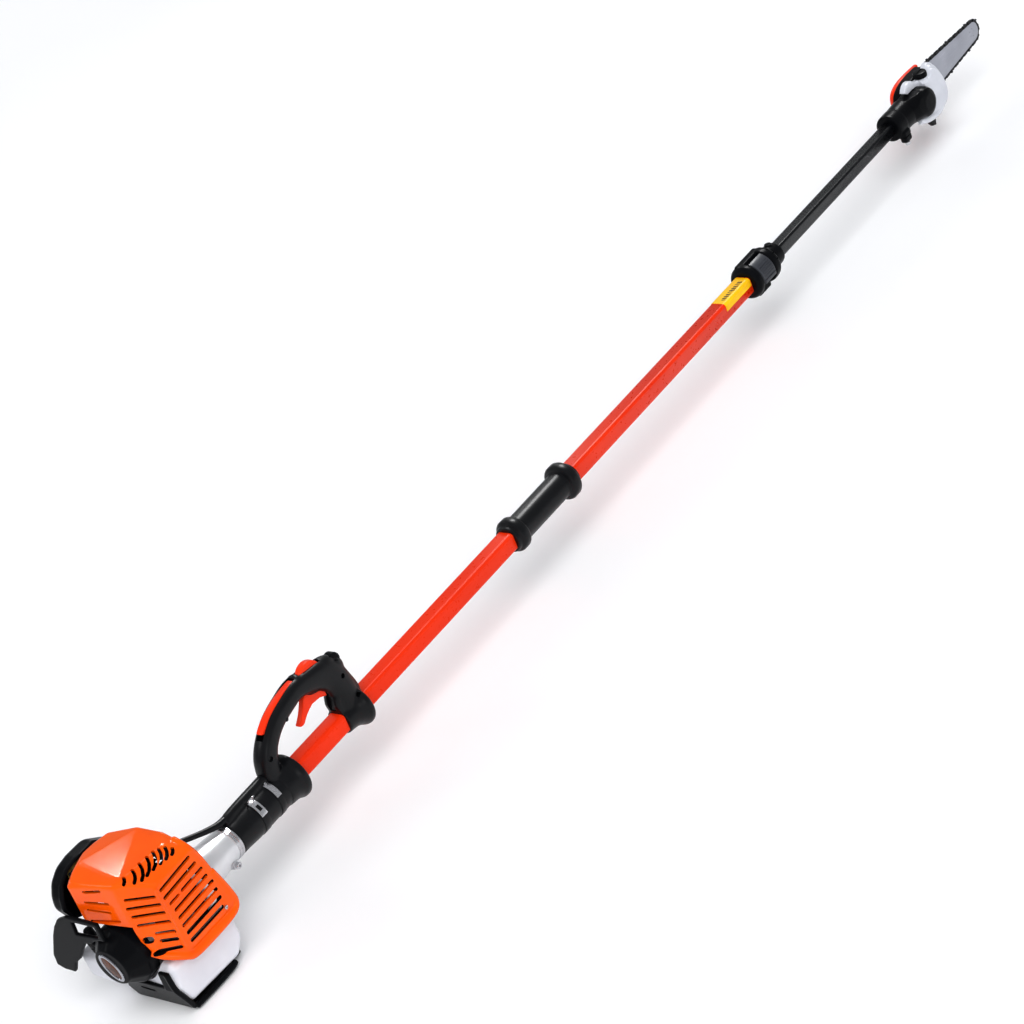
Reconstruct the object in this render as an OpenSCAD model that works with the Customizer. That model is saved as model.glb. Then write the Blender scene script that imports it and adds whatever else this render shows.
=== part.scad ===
/* [Overall] */
// Height of the pole axis above the stand
axis_z = 110; // [108:1:114]
// Length of the visible engine from the crank centre to the starter face
starter_face_x = 97; // [95:1:100]
// How far the inner tube slides out
telescope_travel = 1200; // [1100:10:1200]

/* [Tubes] */
// Width of the square outer tube
outer_w = 32; // [32:0.5:33]
// Corner radius of the outer tube
outer_r = 6; // [5:0.5:7]
// Width of the square inner tube
inner_w = 25; // [24:0.5:25]
// Corner radius of the inner tube
inner_r = 5; // [4:0.5:6]
// Wall of both tubes
tube_wall = 1.5; // [1.2:0.1:1.6]
// Where the outer tube ends, inside the clamp
outer_end_x = 1700; // [1695:1:1705]
// Where the inner tube ends, inside the gear housing
inner_end_x = 2225; // [2222:1:2226]
// Rear end of the inner tube when pushed in
inner_start_x = 380; // [378:1:385]

/* [Clutch housing and rear grip] */
// Front end of the clutch housing
housing_front_x = 175; // [172:1:178]
// Radius of the housing's machined front ring
housing_ring_r = 28.5; // [28:0.5:30]
// Radius of the rubber rear grip
grip_r = 30; // [29:0.5:31]
// Front end of the rear grip, at the handle
grip_front_x = 296; // [292:1:298]

/* [Handle] */
// Width of the loop handle across both halves
handle_w = 32; // [30:1:34]
// Half thickness of the loop's ribbon
loop_half = 16; // [15:0.5:17]
// Radius of the rear collar
rear_collar_r = 39; // [38:0.5:40]
// Radius of the front collar
front_collar_r = 36; // [35:0.5:37]
// Rear face of the front collar
front_collar_x = 474; // [472:1:476]

/* [Middle grip] */
// Radius of the sleeve between the two stop rings
sleeve_r = 23.5; // [23:0.5:24]
// Centre of the rear stop ring
ring_a_x = 930; // [925:1:935]
// Centre of the front stop ring
ring_b_x = 1077; // [1070:1:1085]

/* [Telescope clamp] */
// Rear face of the clamp
clamp_x = 1668; // [1665:1:1670]
// Length between the clamp's two rims
clamp_l = 80; // [78:1:82]
// Radius of the clamp's rims
clamp_r = 32; // [31:0.5:33]
// Front end of the clamp's nose
nose_x = 1776; // [1774:1:1780]

/* [Saw head] */
// Position of the cross shaft that drives the chain
cross_x = 2302; // [2301:1:2303]
// Sideways position of the bar and chain
bar_y = 22; // [22:0.5:22.5]
// Height of the bar's centre line
bar_z = 106; // [105:0.5:107]
// Half width of the bar near the head
bar_root_r = 25; // [24:0.5:25]
// Half width of the bar at its widest
bar_middle_r = 28; // [27:0.5:28.5]
// Where the bar is widest
bar_middle_x = 2412; // [2408:1:2416]
// Half width of the bar at its nose
bar_nose_r = 18; // [16:0.5:18]
// Position of the nose's centre
bar_nose_x = 2580; // [2575:1:2583]
// Teeth on the bevel pinion
pinion_teeth = 12; // [12:1:12]
// Teeth on the bevel wheel
wheel_teeth = 16; // [16:1:16]

/* [Engine] */
// Radius of the clutch housing's bell
bell_r = 52; // [51:0.5:53]
// Half width of the shroud's right side
shroud_y = 88; // [87:0.5:89]
// Height of the shroud's lower lip
shroud_low_z = 80; // [79:0.5:81]
// Height of the shroud's top face
shroud_top_z = 245; // [243:1:246]
// Wall of the moulded covers
cover_wall = 3; // [2.5:0.5:3]

/* [Hidden] */
$fn = 48;
fit = 0.05;
hair = 0.01;
inner_bore = inner_w - 2 * tube_wall;
outer_bore = outer_w - 2 * tube_wall;
rod_w = 7;
drive_tube_r = 6;
drum_x = 56;
post_x = -58;
bar_thickness = 4;
sprocket_r = 14.5;

// Shapes shared by the parts

// Places children with their Z along +X at a point on the pole's axis line
module on_axis(x, y = 0, z = axis_z) {
    translate([x, y, z]) rotate([0, 90, 0]) children();
}

// A solid round bar along X between two stations
module bar_x(x0, x1, r, y = 0, z = axis_z) {
    on_axis(x0, y, z) cylinder(h = x1 - x0, r = r);
}

// A solid round bar along Y between two stations
module bar_y_axis(y0, y1, r, x, z = axis_z) {
    translate([x, y0, z]) rotate([-90, 0, 0]) cylinder(h = y1 - y0, r = r);
}

// A square with round corners
module round_square(w, r) {
    square([w, w - 2 * r], center = true);
    square([w - 2 * r, w], center = true);
    for (sx = [-1, 1], sy = [-1, 1]) translate([sx * (w / 2 - r), sy * (w / 2 - r)]) circle(r);
}

// A square bar with round corners along X
module square_bar(x0, x1, w, r) {
    on_axis(x0) linear_extrude(x1 - x0) round_square(w, r);
}

// A square tube with round corners along X
module square_tube(x0, x1, w, r, bore, bore_r) {
    difference() {
        square_bar(x0, x1, w, r);
        square_bar(x0 - 1, x1 + 1, bore, bore_r);
    }
}

// A box given by its two corners
module box(a, b) {
    translate(a) cube(b - a);
}

// An outline in the upright X-Z plane, thickened along Y from y0 to y1
module upright(y0, y1) {
    translate([0, y1, 0]) rotate([90, 0, 0]) linear_extrude(y1 - y0) children();
}

// A point on a cubic curve
function curve_point(p, t) =
    pow(1 - t, 3) * p[0] + 3 * t * pow(1 - t, 2) * p[1] + 3 * t * t * (1 - t) * p[2] + pow(t, 3) * p[3];
function curve(p, n) = [for (i = [0:n]) curve_point(p, i / n)];
function joined(curves, n) = concat([curves[0][0]], [for (c = curves, i = [1:n]) curve_point(c, i / n)]);
function left_normal(a, b) = let (d = b - a) [-d[1], d[0]] / norm(d);
function path_normal(path, i) =
    left_normal(path[max(i - 1, 0)], path[min(i + 1, len(path) - 1)]);
function reversed(v) = [for (i = [len(v) - 1:-1:0]) v[i]];
function ribbon(path, a, b) = concat(
    [for (i = [0:len(path) - 1]) path[i] + a * path_normal(path, i)],
    reversed([for (i = [0:len(path) - 1]) path[i] - b * path_normal(path, i)]));

// The outline of a belt round circles [x, y, r], taken anticlockwise
function belt_normal(a, b) = let (d = [b[0] - a[0], b[1] - a[1]])
    atan2(d[1], d[0]) - 90 + asin((a[2] - b[2]) / norm(d));
function turn_to(from, to) = to >= from ? to : turn_to(from, to + 360);
function belt(c, grow, n = 10) = [
    for (i = [0:len(c) - 1])
        let (before = c[(i + len(c) - 1) % len(c)], after = c[(i + 1) % len(c)],
             a0 = belt_normal(before, c[i]), a1 = turn_to(a0 - hair, belt_normal(c[i], after)))
        for (k = [0:n])
            let (a = a0 + (a1 - a0) * k / n)
            [c[i][0], c[i][1]] + (c[i][2] + grow) * [cos(a), sin(a)]];

// Engine

module crankcase() color("silver") {
    difference() {
        union() {
            bar_x(-50, 30, 34);
            bar_x(-56, -50, 40);
            bar_x(30, 36, 46);
            box([-30, -30, axis_z], [30, 30, 146]);
            box([-40, -26, 70], [20, 26, 95]);
        }
        bar_x(-30, 20, 24);
        bar_x(-57, 37, drive_tube_r + fit);
        translate([0, 0, axis_z]) cylinder(h = 37, r = 17);
        for (sy = [-1, 1], sz = [-1, 1]) bar_x(28, 38, 2.5, sy * 30, axis_z + sz * 30);
    }
}

module cylinder_block() {
    translate([0, 0, 146]) cylinder(h = 82, r = 22);
    for (k = [0:9]) box([-32, -30, 150 + 8 * k], [29.5, 30, 152.4 + 8 * k]);
    box([-30, -30, 146], [29.5, 30, 149]);
    box([-16, -38, 168], [16, -18, 196]);
    box([-16, 18, 166], [16, 36, 196]);
}

module engine_cylinder() color("gainsboro") {
    difference() {
        cylinder_block();
        translate([0, 0, 145]) cylinder(h = 70, r = 17);
        bar_y_axis(-39, 0, 9, 0, 182);
        bar_y_axis(0, 37, 8, 0, 182);
        bar_x(-40, -8, 5, 0, 222);
        box([-40, -9, 213], [-23, 9, 231]);
    }
}

module crankshaft() color("lightgray") {
    bar_x(post_x, 54, drive_tube_r);
    bar_x(-14, -6, 20);
    bar_x(6, 14, 20);
    bar_x(-7, 7, 5, 0, axis_z + 12);
}

module flywheel() color("darkgray") {
    difference() {
        union() {
            bar_x(38, 48, 42);
            for (k = [0:15])
                translate([0, 0, axis_z]) rotate([k * 360 / 16, 0, 0]) box([47.5, -1, 33], [54, 1, 41]);
        }
        bar_x(37, 49, drive_tube_r);
    }
}

module ignition_coil() color("dimgray") {
    box([39, -14, axis_z + 42.4], [46, -8, axis_z + 62]);
    box([39, 8, axis_z + 42.4], [46, 14, axis_z + 62]);
    box([39, -14, axis_z + 62], [46, 14, axis_z + 68]);
    box([37, -7, axis_z + 46], [50, 7, axis_z + 61.7]);
}

module spark_plug() color("white") {
    bar_x(-23, -9, 4.8, 0, 222);
    on_axis(-30, 0, 222) cylinder(h = 7, r = 8, $fn = 6);
    bar_x(-50, -30, 5, 0, 222);
    bar_x(-62, -48, 8, 0, 222);
}

module muffler() color("gray") {
    difference() {
        union() {
            box([-26, -80, 134], [34, -39, 206]);
            box([-16, -39, 168], [16, -38, 196]);
            bar_x(34, 44, 6, -62, 152);
        }
        box([-24, -78, 136], [32, -41, 204]);
        bar_x(31, 45, 4.6, -62, 152);
        bar_y_axis(-42, -37, 9, 0, 182);
    }
}

module carburettor() color("silver") {
    difference() {
        union() {
            box([-18, 36, 160], [18, 62, 200]);
            box([-14, 40, 200], [14, 58, 206]);
            bar_x(18, 26, 5, 50, 184);
        }
        bar_y_axis(35, 63, 7, 0, 184);
        translate([2, 49, 159]) cylinder(h = 10, r = 9.4);
        bar_x(-19, -12, 2.55, 50, 172);
    }
}

module air_filter_base() color("dimgray") {
    difference() {
        box([-50, 62, 162], [28, 66, 230]);
        bar_y_axis(61, 67, 9, 0, 184);
    }
}

module air_filter_element() color("khaki") {
    box([-42, 66, 174], [6, 82, 224]);
}

filter_ring = [
    [-82, 190], [-72, 164], [-50, 154], [18, 154], [40, 170], [44, 216], [12, 238], [-24, 239], [-62, 234], [-74, 224]
];
filter_middle = [-18, 198];

function shrunk(ring, middle, s) = [for (p = ring) middle + s * (p - middle)];

module air_filter_cover() color("black") {
    difference() {
        hull() {
            upright(67, 90) polygon(filter_ring);
            upright(90, 98) polygon(shrunk(filter_ring, filter_middle, 0.86));
        }
        hull() {
            upright(66, 88) polygon(shrunk(filter_ring, filter_middle, 0.92));
            upright(88, 95) polygon(shrunk(filter_ring, filter_middle, 0.78));
        }
    }
}

module choke_lever() color("orangered") {
    bar_x(-28, -13, 2.5, 50, 172);
    box([-28, 47, 150], [-24, 53, 172]);
    bar_x(-30, -22, 4.5, 50, 151);
}

module primer_bulb() color("tomato") {
    translate([2, 49, 154]) cylinder(h = 10, r = 8.8);
    translate([2, 49, 154]) sphere(r = 7.5);
}

// Corners of the shroud, each [x, y, z], moved inwards by w
function shroud_corners(w) = [
    [79 - w, -83 + w, 86], [66, -80 + w, shroud_low_z], [-28, -80 + w, shroud_low_z],
    [-30 + w / 2, -shroud_y + w, 100], [81 - w, -shroud_y + w, 98], [54 - w, -shroud_y + w, 222 - w],
    [-30 + w / 2, -shroud_y + w, 222 - w], [-66 + w, -45, 240 - w], [-66 + w, -45, 160],
    [-60 + w, -54 + w, 112], [-76 + w, 45, 236 - w], [-76 + w, 45, 166], [-55, -50, shroud_top_z - w],
    [30, -60, shroud_top_z - 3 - w], [54 - w, -38, shroud_top_z - 4 - w], [50 - w, 8, shroud_top_z - w],
    [34 - w, 56, shroud_top_z - 6 - w], [-10, 68 - w, shroud_top_z - 6 - w], [-40, 48, shroud_top_z - w],
    [72 - w, 52, 170], [60, 52, 150]
];

module corner_hull(points, r) {
    hull() for (p = points) translate(p) sphere(r = r, $fn = 12);
}

// Each slot of the right side as [start x, end x]; they climb the face in equal steps
right_slots = [[-16, 53], [-16, 57], [-17, 57], [-17, 57], [-17, 52], [-20, 50], [-24, 44], [-24, 39]];
slot_w = 5;
slot_step = 14.5;

module shroud_slots_right() {
    for (k = [0:len(right_slots) - 1])
        box([right_slots[k][0], -shroud_y - 12, 106 + slot_step * k],
            [right_slots[k][1], -shroud_y + 12, 106 + slot_w + slot_step * k]);
}

module shroud_slots_corner() {
    translate([-48, -66.5, 0]) rotate([0, 0, 130])
        for (k = [0:6]) box([-17 - k, -12, 114 + slot_step * k], [17, 12, 114 + slot_w + slot_step * k]);
}

module shroud_slots_rear() {
    for (k = [0:3]) box([-95, -22, 174 + 17 * k], [-58, 18, 176.5 + 17 * k]);
}

module shroud_slots_top() {
    for (k = [0:7]) translate([-40 + 9.5 * k, -58, 220]) rotate([0, 0, -12]) box([0, -22, 0], [5, 2, 60]);
}

module engine_shroud() color("orangered") {
    difference() {
        corner_hull(shroud_corners(4), 4);
        corner_hull(shroud_corners(4 + cover_wall), 4);
        box([-90, -100, 40], [100, 110, shroud_low_z]);
        box([-48, 30, 60], [120, 120, 206]);
        box([-48, 60.5, 200], [120, 120, 300]);
        box([-100, -44, 60], [-56, 70, 168]);
        bar_x(20, 120, bell_r + 4);
        bar_x(-110, -42, 51.5);
        shroud_slots_right();
        shroud_slots_corner();
        shroud_slots_rear();
        shroud_slots_top();
    }
}

// Recoil starter

module starter_housing() color("black") {
    difference() {
        union() {
            on_axis(-starter_face_x) cylinder(h = 24, r1 = 30, r2 = 50, $fn = 12);
            on_axis(-starter_face_x + 24) cylinder(h = 22, r = 50, $fn = 12);
            bar_y_axis(30, 54, 9, -68, 122);
        }
        on_axis(-starter_face_x + 5) cylinder(h = 23, r1 = 27, r2 = 44);
        bar_x(-72, -50, 44);
        bar_y_axis(28, 55, 3, -68, 122);
    }
    bar_x(-starter_face_x + 4, -62, 5.95);
}

module rope_drum() color("gray") {
    difference() {
        union() {
            bar_x(-74, -62, 22);
            bar_x(-64, -62, 28);
            bar_x(-74, -72, 28);
        }
        bar_x(-75, -61, 6);
    }
}

module rewind_spring() color("steelblue") {
    difference() {
        bar_x(-84, -76, 22);
        bar_x(-85, -75, 17);
    }
}

module starter_grip() color("black") {
    bar_y_axis(36, 58, 2, -68, 122);
    hull() {
        bar_x(-78, -58, 5, 60, 104);
        bar_x(-78, -58, 5, 60, 140);
        bar_x(-74, -62, 4, 72, 110);
        bar_x(-74, -62, 4, 72, 134);
    }
}

module starter_badge() color("lightgray") {
    translate([-starter_face_x - 1.5, 0, axis_z]) rotate([-30, 0, 0]) rotate([0, 90, 0]) intersection() {
        translate([0, 14, 0]) cylinder(h = 1.5, r = 29);
        translate([0, -14, 0]) cylinder(h = 1.5, r = 29);
    }
}

// Fuel tank and stand

tank_points = [
    [-38, -58, 22], [-34, 52, 20], [60, -60, 20], [70, -68, 40], [72, 84, 30], [-46, -61, 78], [66, -64, 77],
    [74, 88, 78], [-48, 88, 84], [-44, 84, 30]
];
tank_lobe = [[-66, 74, 84], [-66, 100, 84], [-66, 98, 62], [-58, 86, 56], [-20, 100, 84], [-20, 96, 40]];

module fuel_tank() color("whitesmoke") {
    difference() {
        union() {
            hull() for (p = tank_points) translate(p) sphere(r = 8, $fn = 16);
            hull() for (p = tank_lobe) translate(p) sphere(r = 8, $fn = 16);
            bar_y_axis(90, 106, 14, 40, 62);
        }
        hull() for (p = tank_points) translate(p) sphere(r = 5.5, $fn = 12);
        hull() for (p = tank_lobe) translate(p) sphere(r = 5.5, $fn = 12);
        bar_y_axis(84, 107, 11, 40, 62);
        bar_x(-100, 100, 53.4);
    }
}

module fuel_cap() color("black") {
    difference() {
        bar_y_axis(100, 120, 18, 40, 62);
        bar_y_axis(99, 106.3, 14.3, 40, 62);
        for (k = [0:11])
            translate([40, 0, 62]) rotate([0, k * 30, 0]) bar_y_axis(104, 121, 2, 18.8, 0);
    }
}

module tank_guard() color("black") {
    difference() {
        union() {
            box([-44, -62, 0], [43, 66, 9]);
            upright(-62, 24) polygon([[-47, 3], [-41, 3], [-61, 56], [-67, 56]]);
            box([43, -66, 4], [66, -50, 9]);
            box([43, 52, 4], [66, 69, 9]);
            box([-46, -72, 4], [62, -61, 11]);
            box([-68, -66, 50], [-62, -51.2, 86]);
        }
        box([-70, -26, 33], [-44, 4, 39]);
        for (k = [0:2]) box([-36 + 26 * k, -44, -1], [-20 + 26 * k, 48, 4]);
        for (x = [-30, 30], y = [-50, 56]) translate([x, y, -1]) cylinder(h = 12, r = 2.5);
    }
}

bumper_plate = [
    [-4, 150], [14, 146], [44, 140], [62, 128], [82, 110], [101, 98], [112, 72], [128, 73], [139, 78],
    [136, 98], [127, 114], [112, 140], [98, 160], [82, 177], [60, 187], [-4, 186]
];
bumper_window = [[6, 158], [54, 155], [50, 179], [4, 179]];
bumper_path = joined([
    [[93, 160], [104, 150], [114, 134], [120, 121]],
    [[120, 121], [127, 110], [131, 98], [133, 81]]], 8);

module across(x0, x1) {
    translate([x0, 0, 0]) rotate([90, 0, 90]) linear_extrude(x1 - x0) children();
}

module side_bumper() color("black") {
    difference() {
        across(-92, -86) polygon(bumper_plate);
        across(-93, -85) polygon(bumper_window);
        bar_x(-starter_face_x, -85, 43);
    }
    across(-86.5, -79) polygon(ribbon(bumper_path, 3, 3));
}

// Clutch and its housing

module clutch_shoes() color("darkslategray") {
    difference() {
        union() {
            bar_x(54, 66, 11);
            for (side = [0, 180]) translate([0, 0, axis_z]) rotate([side, 0, 0]) difference() {
                bar_x(56, 65, 27, 0, 0);
                bar_x(55, 66, 17, 0, 0);
                box([54, -30, -30], [67, 30, 4]);
            }
            box([58, -3, axis_z - 20], [63, 3, axis_z + 20]);
        }
        bar_x(50, 54.5, 6.2);
    }
}

module clutch_drum() color("lightgray") {
    difference() {
        union() {
            bar_x(drum_x, 72, 30.5);
            bar_x(71, 112, 9);
        }
        bar_x(drum_x - 1, 68.5, 28);
        bar_x(80, 113, drive_tube_r);
    }
}

bell_profile = [
    [46, 36], [bell_r, 36], [bell_r, 56], [49, 70], [44, 84], [37, 104], [32, 128], [29, 150],
    [housing_ring_r - 1.5, 164], [housing_ring_r, 165], [housing_ring_r, 175], [0, 175],
    [0, 90], [34, 84], [46, 62]
];

module clutch_housing() color("gainsboro") {
    difference() {
        translate([0, 0, axis_z]) rotate([0, 90, 0]) rotate_extrude($fn = 64) polygon(bell_profile);
        bar_x(80, 116, 9 + fit);
        bar_x(110, 130, 12);
        square_bar(122, 176, outer_w, outer_r);
        box([37, -16, axis_z + 40], [52, 16, axis_z + 60]);
        bar_y_axis(-40, 40, 3, 150, axis_z - 20);
    }
    translate([0, 0, axis_z]) for (k = [0:3]) rotate([45 + 90 * k, 0, 0])
        difference() {
            bar_x(36, 44, 7, 0, bell_r + 5);
            bar_x(35, 45, 2.5, 0, bell_r + 5);
        }
}

module housing_bolts() color("silver") {
    bar_y_axis(-40, -27.5, 3, 150, axis_z - 20);
    bar_y_axis(-44, -40, 5.5, 150, axis_z - 20);
    translate([0, 0, axis_z]) for (k = [0:3]) rotate([45 + 90 * k, 0, 0]) {
        bar_x(36, 44, 2.5, 0, bell_r + 5);
        bar_x(44, 48, 4.5, 0, bell_r + 5);
    }
}

// Rear grip and loop handle

module rear_grip() color("dimgray") {
    difference() {
        union() {
            on_axis(175) cylinder(h = 40, r1 = housing_ring_r - 0.5, r2 = grip_r);
            bar_x(215, grip_front_x, grip_r);
            bar_x(178, grip_front_x, 8, 0, axis_z + 33);
            box([178, -8, axis_z + 20], [grip_front_x, 8, axis_z + 33]);
        }
        square_bar(174, grip_front_x + 1, outer_w, outer_r);
        bar_x(170, grip_front_x + 1, 3.6, 0, axis_z + 34);
        box([284, -3.6, axis_z + 34], [grip_front_x + 1, 3.6, axis_z + 45]);
    }
}

strap_gap = 0.15;

module band_clamp() color("silver") {
    difference() {
        bar_x(264, 274, grip_r + 1.2);
        bar_x(263, 275, grip_r + strap_gap);
        box([262, -12, axis_z + 10], [276, 12, axis_z + 40]);
    }
    box([264, -17, axis_z + 27.9], [274, -11.5, axis_z + 33]);
}

module harness_ring() color("silver") {
    difference() {
        bar_x(224, 236, grip_r + 1.5);
        bar_x(223, 237, grip_r + strap_gap);
        box([222, -12, axis_z + 10], [238, 12, axis_z + 40]);
    }
    difference() {
        translate([228, -10, axis_z + 26]) rotate([40, 0, 0]) box([0, -6, 4], [4, 6, 22]);
        translate([228, -10, axis_z + 26]) rotate([40, 0, 0]) bar_x(-1, 5, 4, 0, 15);
    }
}

loop_outer = joined([
    [[284, 124], [270, 160], [284, 208], [340, 218]],
    [[340, 218], [352, 221], [372, 223], [396, 225]]], 12);
loop_head = [
    [403, 234], [411, 237], [416, 230], [456, 225], [468, 223], [482, 214], [492, 200], [500, 180], [506, 150],
    [500, 124], [452, 124], [450, 146]
];
loop_inner = joined([
    [[448, 158], [440, 182], [424, 197], [404, 198]],
    [[404, 198], [362, 198], [312, 180], [314, 124]]], 12);
cavity_upper = joined([
    [[290, 140], [278, 168], [296, 204], [342, 212]],
    [[342, 212], [352, 214], [372, 216], [396, 218]]], 10);
cavity_lower = joined([[[396, 204], [360, 204], [306, 186], [306, 140]]], 14);

module loop_outline() {
    polygon(concat(loop_outer, loop_head, loop_inner));
}

module handle_cavity() {
    upright(-8, 8) polygon(concat(cavity_upper, cavity_lower));
    upright(-7, 7) polygon([[300, 186], [360, 200], [402, 208], [401, 240], [350, 250], [300, 230]]);
    upright(-7, 7) polygon([[408, 208], [460, 206], [458, 240], [414, 240]]);
    upright(-6.5, 6.5) polygon([[384, 212], [380, 180], [452, 140], [466, 206]]);
    bar_x(286, 306, 4, 0, axis_z + 34);
    bar_y_axis(-7.5, 7.5, 13.6, knob_pivot[0], knob_pivot[1]);
}

module handle_half(y0, y1) {
    difference() {
        intersection() {
            union() {
                upright(y0 * handle_w / 2, y1 * handle_w / 2) loop_outline();
                on_axis(grip_front_x - 8) cylinder(h = 28, r1 = 31, r2 = 35);
                on_axis(grip_front_x + 16) cylinder(h = 8, r1 = 34, r2 = rear_collar_r);
                bar_x(grip_front_x + 24, grip_front_x + 32, rear_collar_r);
                on_axis(452) cylinder(h = 32, r1 = 22.5, r2 = 27);
                on_axis(front_collar_x) cylinder(h = 12, r1 = 26, r2 = front_collar_r);
                bar_x(front_collar_x + 12, front_collar_x + 23, front_collar_r);
            }
            box([200, min(y0, y1) * 50, 0], [600, max(y0, y1) * 50, 300]);
        }
        square_bar(200, 600, outer_w, outer_r);
        bar_x(200, grip_front_x, grip_r);
        box([200, -8, axis_z], [grip_front_x, 8, axis_z + 33]);
        bar_x(200, grip_front_x, 8, 0, axis_z + 33);
        handle_cavity();
        for (p = handle_holes) bar_y_axis(-30, 30, 2.5, p[0], p[1]);
        for (p = [trigger_pivot, lever_pivot]) bar_y_axis(-12, 12, 2, p[0], p[1]);
        bar_y_axis(-9, 9, 2 + fit, switch_pivot[0], switch_pivot[1]);
        bar_y_axis(-12, 12, 3, knob_pivot[0], knob_pivot[1]);
    }
}

handle_holes = [[293, 170], [352, 197], [478, 180], [488, 136]];
trigger_pivot = [424, 192];
lever_pivot = [392, 222];
switch_pivot = [434, 220];
knob_pivot = [484, 203];

module handle_left() color("black") handle_half(0, 1);

module handle_right() color("black") handle_half(-1, 0);

trigger_outline = concat(
    curve([[428, 198], [412, 202], [404, 196], [400, 188]], 6),
    curve([[400, 188], [392, 176], [386, 170], [374, 165]], 6),
    curve([[374, 165], [384, 161], [398, 164], [412, 174]], 6),
    [[432, 172], [446, 164], [444, 182]]);

module throttle_trigger() color("orangered") {
    difference() {
        upright(-5, 5) polygon(trigger_outline);
        bar_y_axis(-6, 6, 2 + fit, trigger_pivot[0], trigger_pivot[1]);
    }
}

lever_outline = concat(
    [[398, 217], [400, 226]],
    curve([[396, 230], [366, 229], [330, 223], [304, 204]], 10),
    curve([[310, 201], [334, 213], [360, 214], [386, 215]], 8));

module lockout_lever() color("orangered") {
    difference() {
        upright(-6, 6) polygon(lever_outline);
        bar_y_axis(-7, 7, 2 + fit, lever_pivot[0], lever_pivot[1]);
    }
}

switch_outline = concat([[412, 218]], curve([[412, 226], [420, 242], [446, 242], [456, 222]], 8), [[456, 216]]);

module stop_switch() color("orangered") {
    upright(-6, 6) polygon(switch_outline);
    bar_y_axis(-8.5, 8.5, 2, switch_pivot[0], switch_pivot[1]);
}

module throttle_lock_knob() color("dimgray") {
    difference() {
        union() {
            bar_y_axis(-7, 7, 13, knob_pivot[0], knob_pivot[1]);
            bar_y_axis(-11.5, 11.5, 2.95, knob_pivot[0], knob_pivot[1]);
        }
        for (k = [0:11])
            translate([knob_pivot[0], 0, knob_pivot[1]]) rotate([0, k * 30, 0]) bar_y_axis(-8, 8, 1.6, 13.6, 0);
    }
}

module handle_fasteners() color("silver") {
    for (p = handle_holes) {
        bar_y_axis(-14, 14, 2.5, p[0], p[1]);
    }
    for (p = [trigger_pivot, lever_pivot]) bar_y_axis(-11, 11, 2, p[0], p[1]);
}

// Throttle cable, from the trigger through the rear grip to the carburettor

cable_r = 2.5;
cable_points = [
    [398, 0, 204], [372, 0, 207], [344, 0, 203], [320, 0, 193], [304, 0, 176], [299, 0, 158],
    [292, 0, 146], [280, 0, 144], [240, 0, 144], [200, 0, 144], [176, 0, 144], [160, 2, 147],
    [140, 8, 152], [112, 18, 160], [84, 32, 168], [60, 44, 176], [40, 49, 182], [26, 50, 184]
];

cable_end = len(cable_points) - 1;
function cable_tangent(i) = let (d = cable_points[min(i + 1, cable_end)] - cable_points[max(i - 1, 0)]) d / norm(d);
function cable_ring(i) = let (t = cable_tangent(i), u = cross([0.1, 1, 0], t) / norm(cross([0.1, 1, 0], t)),
                              v = cross(t, u))
    [for (k = [0:7]) cable_points[i] + cable_r * (cos(45 * k) * u + sin(45 * k) * v)];

module throttle_cable() color("black") {
    rings = len(cable_points);
    points = [for (i = [0:rings - 1]) each cable_ring(i)];
    sides = [
        for (i = [0:rings - 2], k = [0:7])
            [8 * i + k, 8 * i + (k + 1) % 8, 8 * (i + 1) + (k + 1) % 8, 8 * (i + 1) + k]];
    ends = [[for (k = [7:-1:0]) k], [for (k = [0:7]) 8 * (rings - 1) + k]];
    polyhedron(points, concat(sides, ends));
}

// Pole, middle grip and telescope clamp

module outer_tube() color("orangered") {
    square_tube(122, outer_end_x, outer_w, outer_r, outer_bore, outer_r - tube_wall);
}

module grip_ring(x, r) {
    on_axis(x) rotate_extrude() union() {
        translate([0, -10]) square([r - 4, 20]);
        translate([0, -6]) square([r, 12]);
        for (s = [-1, 1]) translate([r - 4, s * 6]) circle(r = 4);
    }
}

module mid_grip() color("dimgray") {
    difference() {
        union() {
            bar_x(ring_a_x - 18, ring_b_x + 18, sleeve_r);
            grip_ring(ring_a_x, 30);
            grip_ring(ring_b_x, 33);
        }
        square_bar(ring_a_x - 20, ring_b_x + 20, outer_w, outer_r);
    }
}

module warning_label() color("gold") {
    intersection() {
        square_tube(1583, clamp_x - 2, outer_w + 0.6, outer_r + 0.3, outer_w, outer_r);
        box([1580, -20, axis_z + 1], [clamp_x, 20, axis_z + 20]);
    }
}

lever_hinge = [-7, 25.5];

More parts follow.
